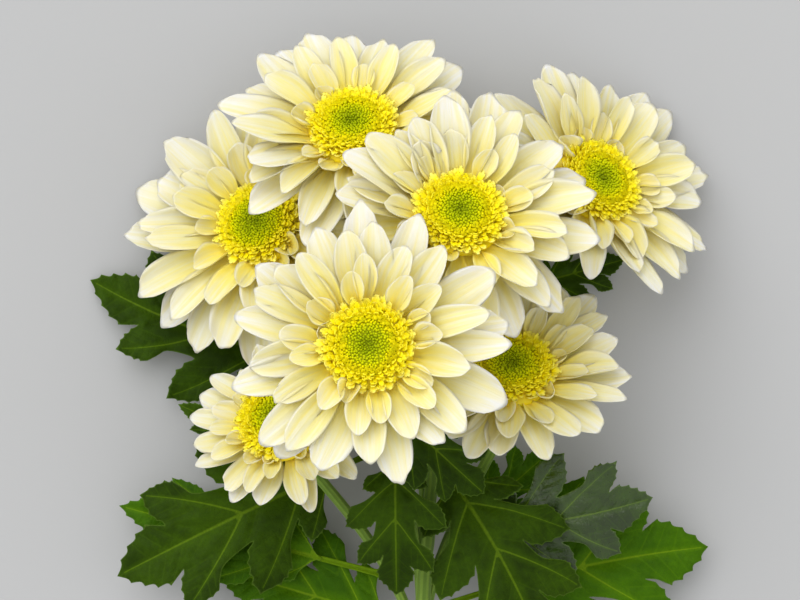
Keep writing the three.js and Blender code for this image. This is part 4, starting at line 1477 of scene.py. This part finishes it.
LEAVES = (
    Leaf("upper_left", (-14.78, -19.51, 7.13), 161.5, 80.8, 3.2, -14, 8, 0.05, 0.92, 0.2, 11),
    Leaf("small_left", (-29.74, -45.08, 27.28), 156.2, 37.8, -6, -4, 0, 0, 0.7, 0.2, 24),
    Leaf("left_front", (-4.15, -42.71, 11.93), -154.4, 87.4, 18, -30, 6, -0.01, 1.05, 0.2, 12),
    Leaf("left_back", (-5.89, -79.24, 15.06), 165.8, 78.9, 0, -10, 4, 0, 0.72, 0.22, 13, Age.YOUNG),
    Leaf("left_low", (0.65, -93.39, 13.88), 164.3, 57.3, -6, -4, 0, 0, 1.1, 0.08, 14, Age.YOUNG),
    Leaf("hanging", (-1.55, -41.79, 36.98), -89.3, 45.5, 26, -70, 8, 0, 1.02, 0.08, 15),
    Leaf("hanging_right", (-3.05, -29.75, 46.89), -43.0, 39.2, 12, -50, 0, 0, 1.05, 0.08, 25),
    Leaf("right_front", (11.29, -46.93, 25.02), -61.3, 66.0, 26, -50, -6, 0.04, 1.12, 0.08, 16),
    Leaf("right_gloss", (10.35, -65.66, 20.58), 7.9, 63.8, 13, -26, 14, -0.04, 1.1, 0.22, 17, Age.GLOSSY),
    Leaf("right_far", (10.12, -89.35, 14.84), 12.3, 82.0, -3, -3, -4, 0.03, 1.15, 0.2, 18, Age.YOUNG),
    Leaf("right_back", (17.52, -66.53, 15.13), 40.4, 35.6, -8, -8, 0, 0, 1, 0.15, 19, Age.YOUNG),
    Leaf("upper_right", (34.63, 3.31, 8.42), 15.5, 33.2, -8.6, -6, -6, 0, 1, 0.16, 20),
    Leaf("stem_upper", (3.08, -136.38, 12.66), -140.5, 85.2, 16, -24, 4, 0.04, 1, 0.2, 21),
    Leaf("stem_middle", (9.12, -169.5, 9.19), -26.6, 82.1, 14, -22, -4, -0.04, 1, 0.2, 22, Age.YOUNG),
    Leaf("stem_lower", (2.57, -208.21, 6.51), -146.3, 82.9, 12, -18, 4, 0.04, 1, 0.2, 23),
)


# Studio


@dataclass(frozen=True)
class Studio:
    """The plain pale floor, soft light and the camera that looks down on the spray. Sizes are in metres."""

    floor_reach: float = 6.0
    floor_points: int = 24
    floor_gap: float = 0.0003
    floor_dip: float = 0.02
    flat_reach: float = 3.0
    camera_height: float = 1.05
    bloom_height: float = 0.05
    view_width: float = 0.224
    sensor: float = 36.0
    sky_tint: tuple[float, float, float, float] = (0.98, 0.99, 1.0, 1.0)
    sky_strength: float = 1.03
    key_from: tuple[float, float, float] = (-0.5, 0.75, 1.0)
    key_spread: float = 65.0
    key_strength: float = 1.8

    def floor(self) -> None:
        """Lays a wide matt floor that dips a little towards its edges."""
        axis = np.linspace(-self.floor_reach, self.floor_reach, self.floor_points)
        x, y = np.meshgrid(axis, axis)
        z = -self.floor_gap - self.floor_dip * smooth_step(np.hypot(x, y), self.flat_reach, self.floor_reach)
        quads = grid_quads(np.arange(x.size).reshape(x.shape))
        mesh = bpy.data.meshes.new("studio_floor")
        mesh.from_pydata(np.stack([x, y, z], -1).reshape(-1, 3).tolist(), [], quads.tolist())
        mesh.materials.append(FloorFinish().material())
        placed("studio_floor", mesh)

    def lights(self) -> None:
        """Sets the even surrounding light and one very soft key light from behind the flower head."""
        world = bpy.data.worlds.new("studio")
        world.use_nodes = True
        sky = world.node_tree.nodes["Background"]
        sky.inputs["Color"].default_value = self.sky_tint
        sky.inputs["Strength"].default_value = self.sky_strength
        bpy.context.scene.world = world
        lamp = bpy.data.lights.new("soft_key", "SUN")
        lamp.angle = math.radians(self.key_spread)
        lamp.energy = self.key_strength
        aim = -Vector(self.key_from)
        placed("soft_key", lamp).rotation_euler = aim.to_track_quat("-Z", "Y").to_euler()

    def camera(self) -> None:
        """Hangs the camera over the flower head, with the stem towards the picture's lower edge."""
        lens = bpy.data.cameras.new("camera")
        lens.sensor_width = self.sensor
        lens.lens = self.sensor * (self.camera_height - self.bloom_height) / self.view_width
        camera = placed("camera", lens)
        camera.location = (*(-REST_POINT[:2] / MM_PER_METRE), self.camera_height)
        bpy.context.scene.camera = camera

    def make(self) -> None:
        """Sets up the whole studio."""
        self.floor()
        self.lights()
        self.camera()
        bpy.context.scene.view_settings.view_transform = "Standard"


def main() -> None:
    """Builds the studio and every piece of the spray, in order."""
    logging.basicConfig(level=logging.INFO, format="%(name)s: %(message)s", stream=sys.stdout)
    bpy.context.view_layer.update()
    Studio().make()
    effects = Effects(mottle_effect(), streaks_effect(), cells_effect())
    finishes = (PetalFinish(), RingFinish(), DiscFinish(), CalyxFinish(), StemFinish())
    petal, ring, disc, bract, stem = (finish.material(effects) for finish in finishes)
    bright = LeafFinish("leaf_bright_green", (62, 100, 0), (44, 78, 0), (80, 118, 0), (120, 148, 16))
    leaf = {
        Age.MATURE: LeafFinish("leaf_dark_green").material(effects),
        Age.YOUNG: bright.material(effects),
        Age.GLOSSY: LeafFinish("leaf_glossy_green", roughness=0.34, gloss=0.42).material(effects),
    }
    Stem().make(stem)
    for bloom in BLOOMS:
        bloom.make_calyx(bract)
        bloom.make_petals(petal)
        bloom.make_ring(ring)
        bloom.make_disc(disc)
    for one in LEAVES:
        one.make(leaf[one.age])
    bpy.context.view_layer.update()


if __name__ == "__main__":
    main()
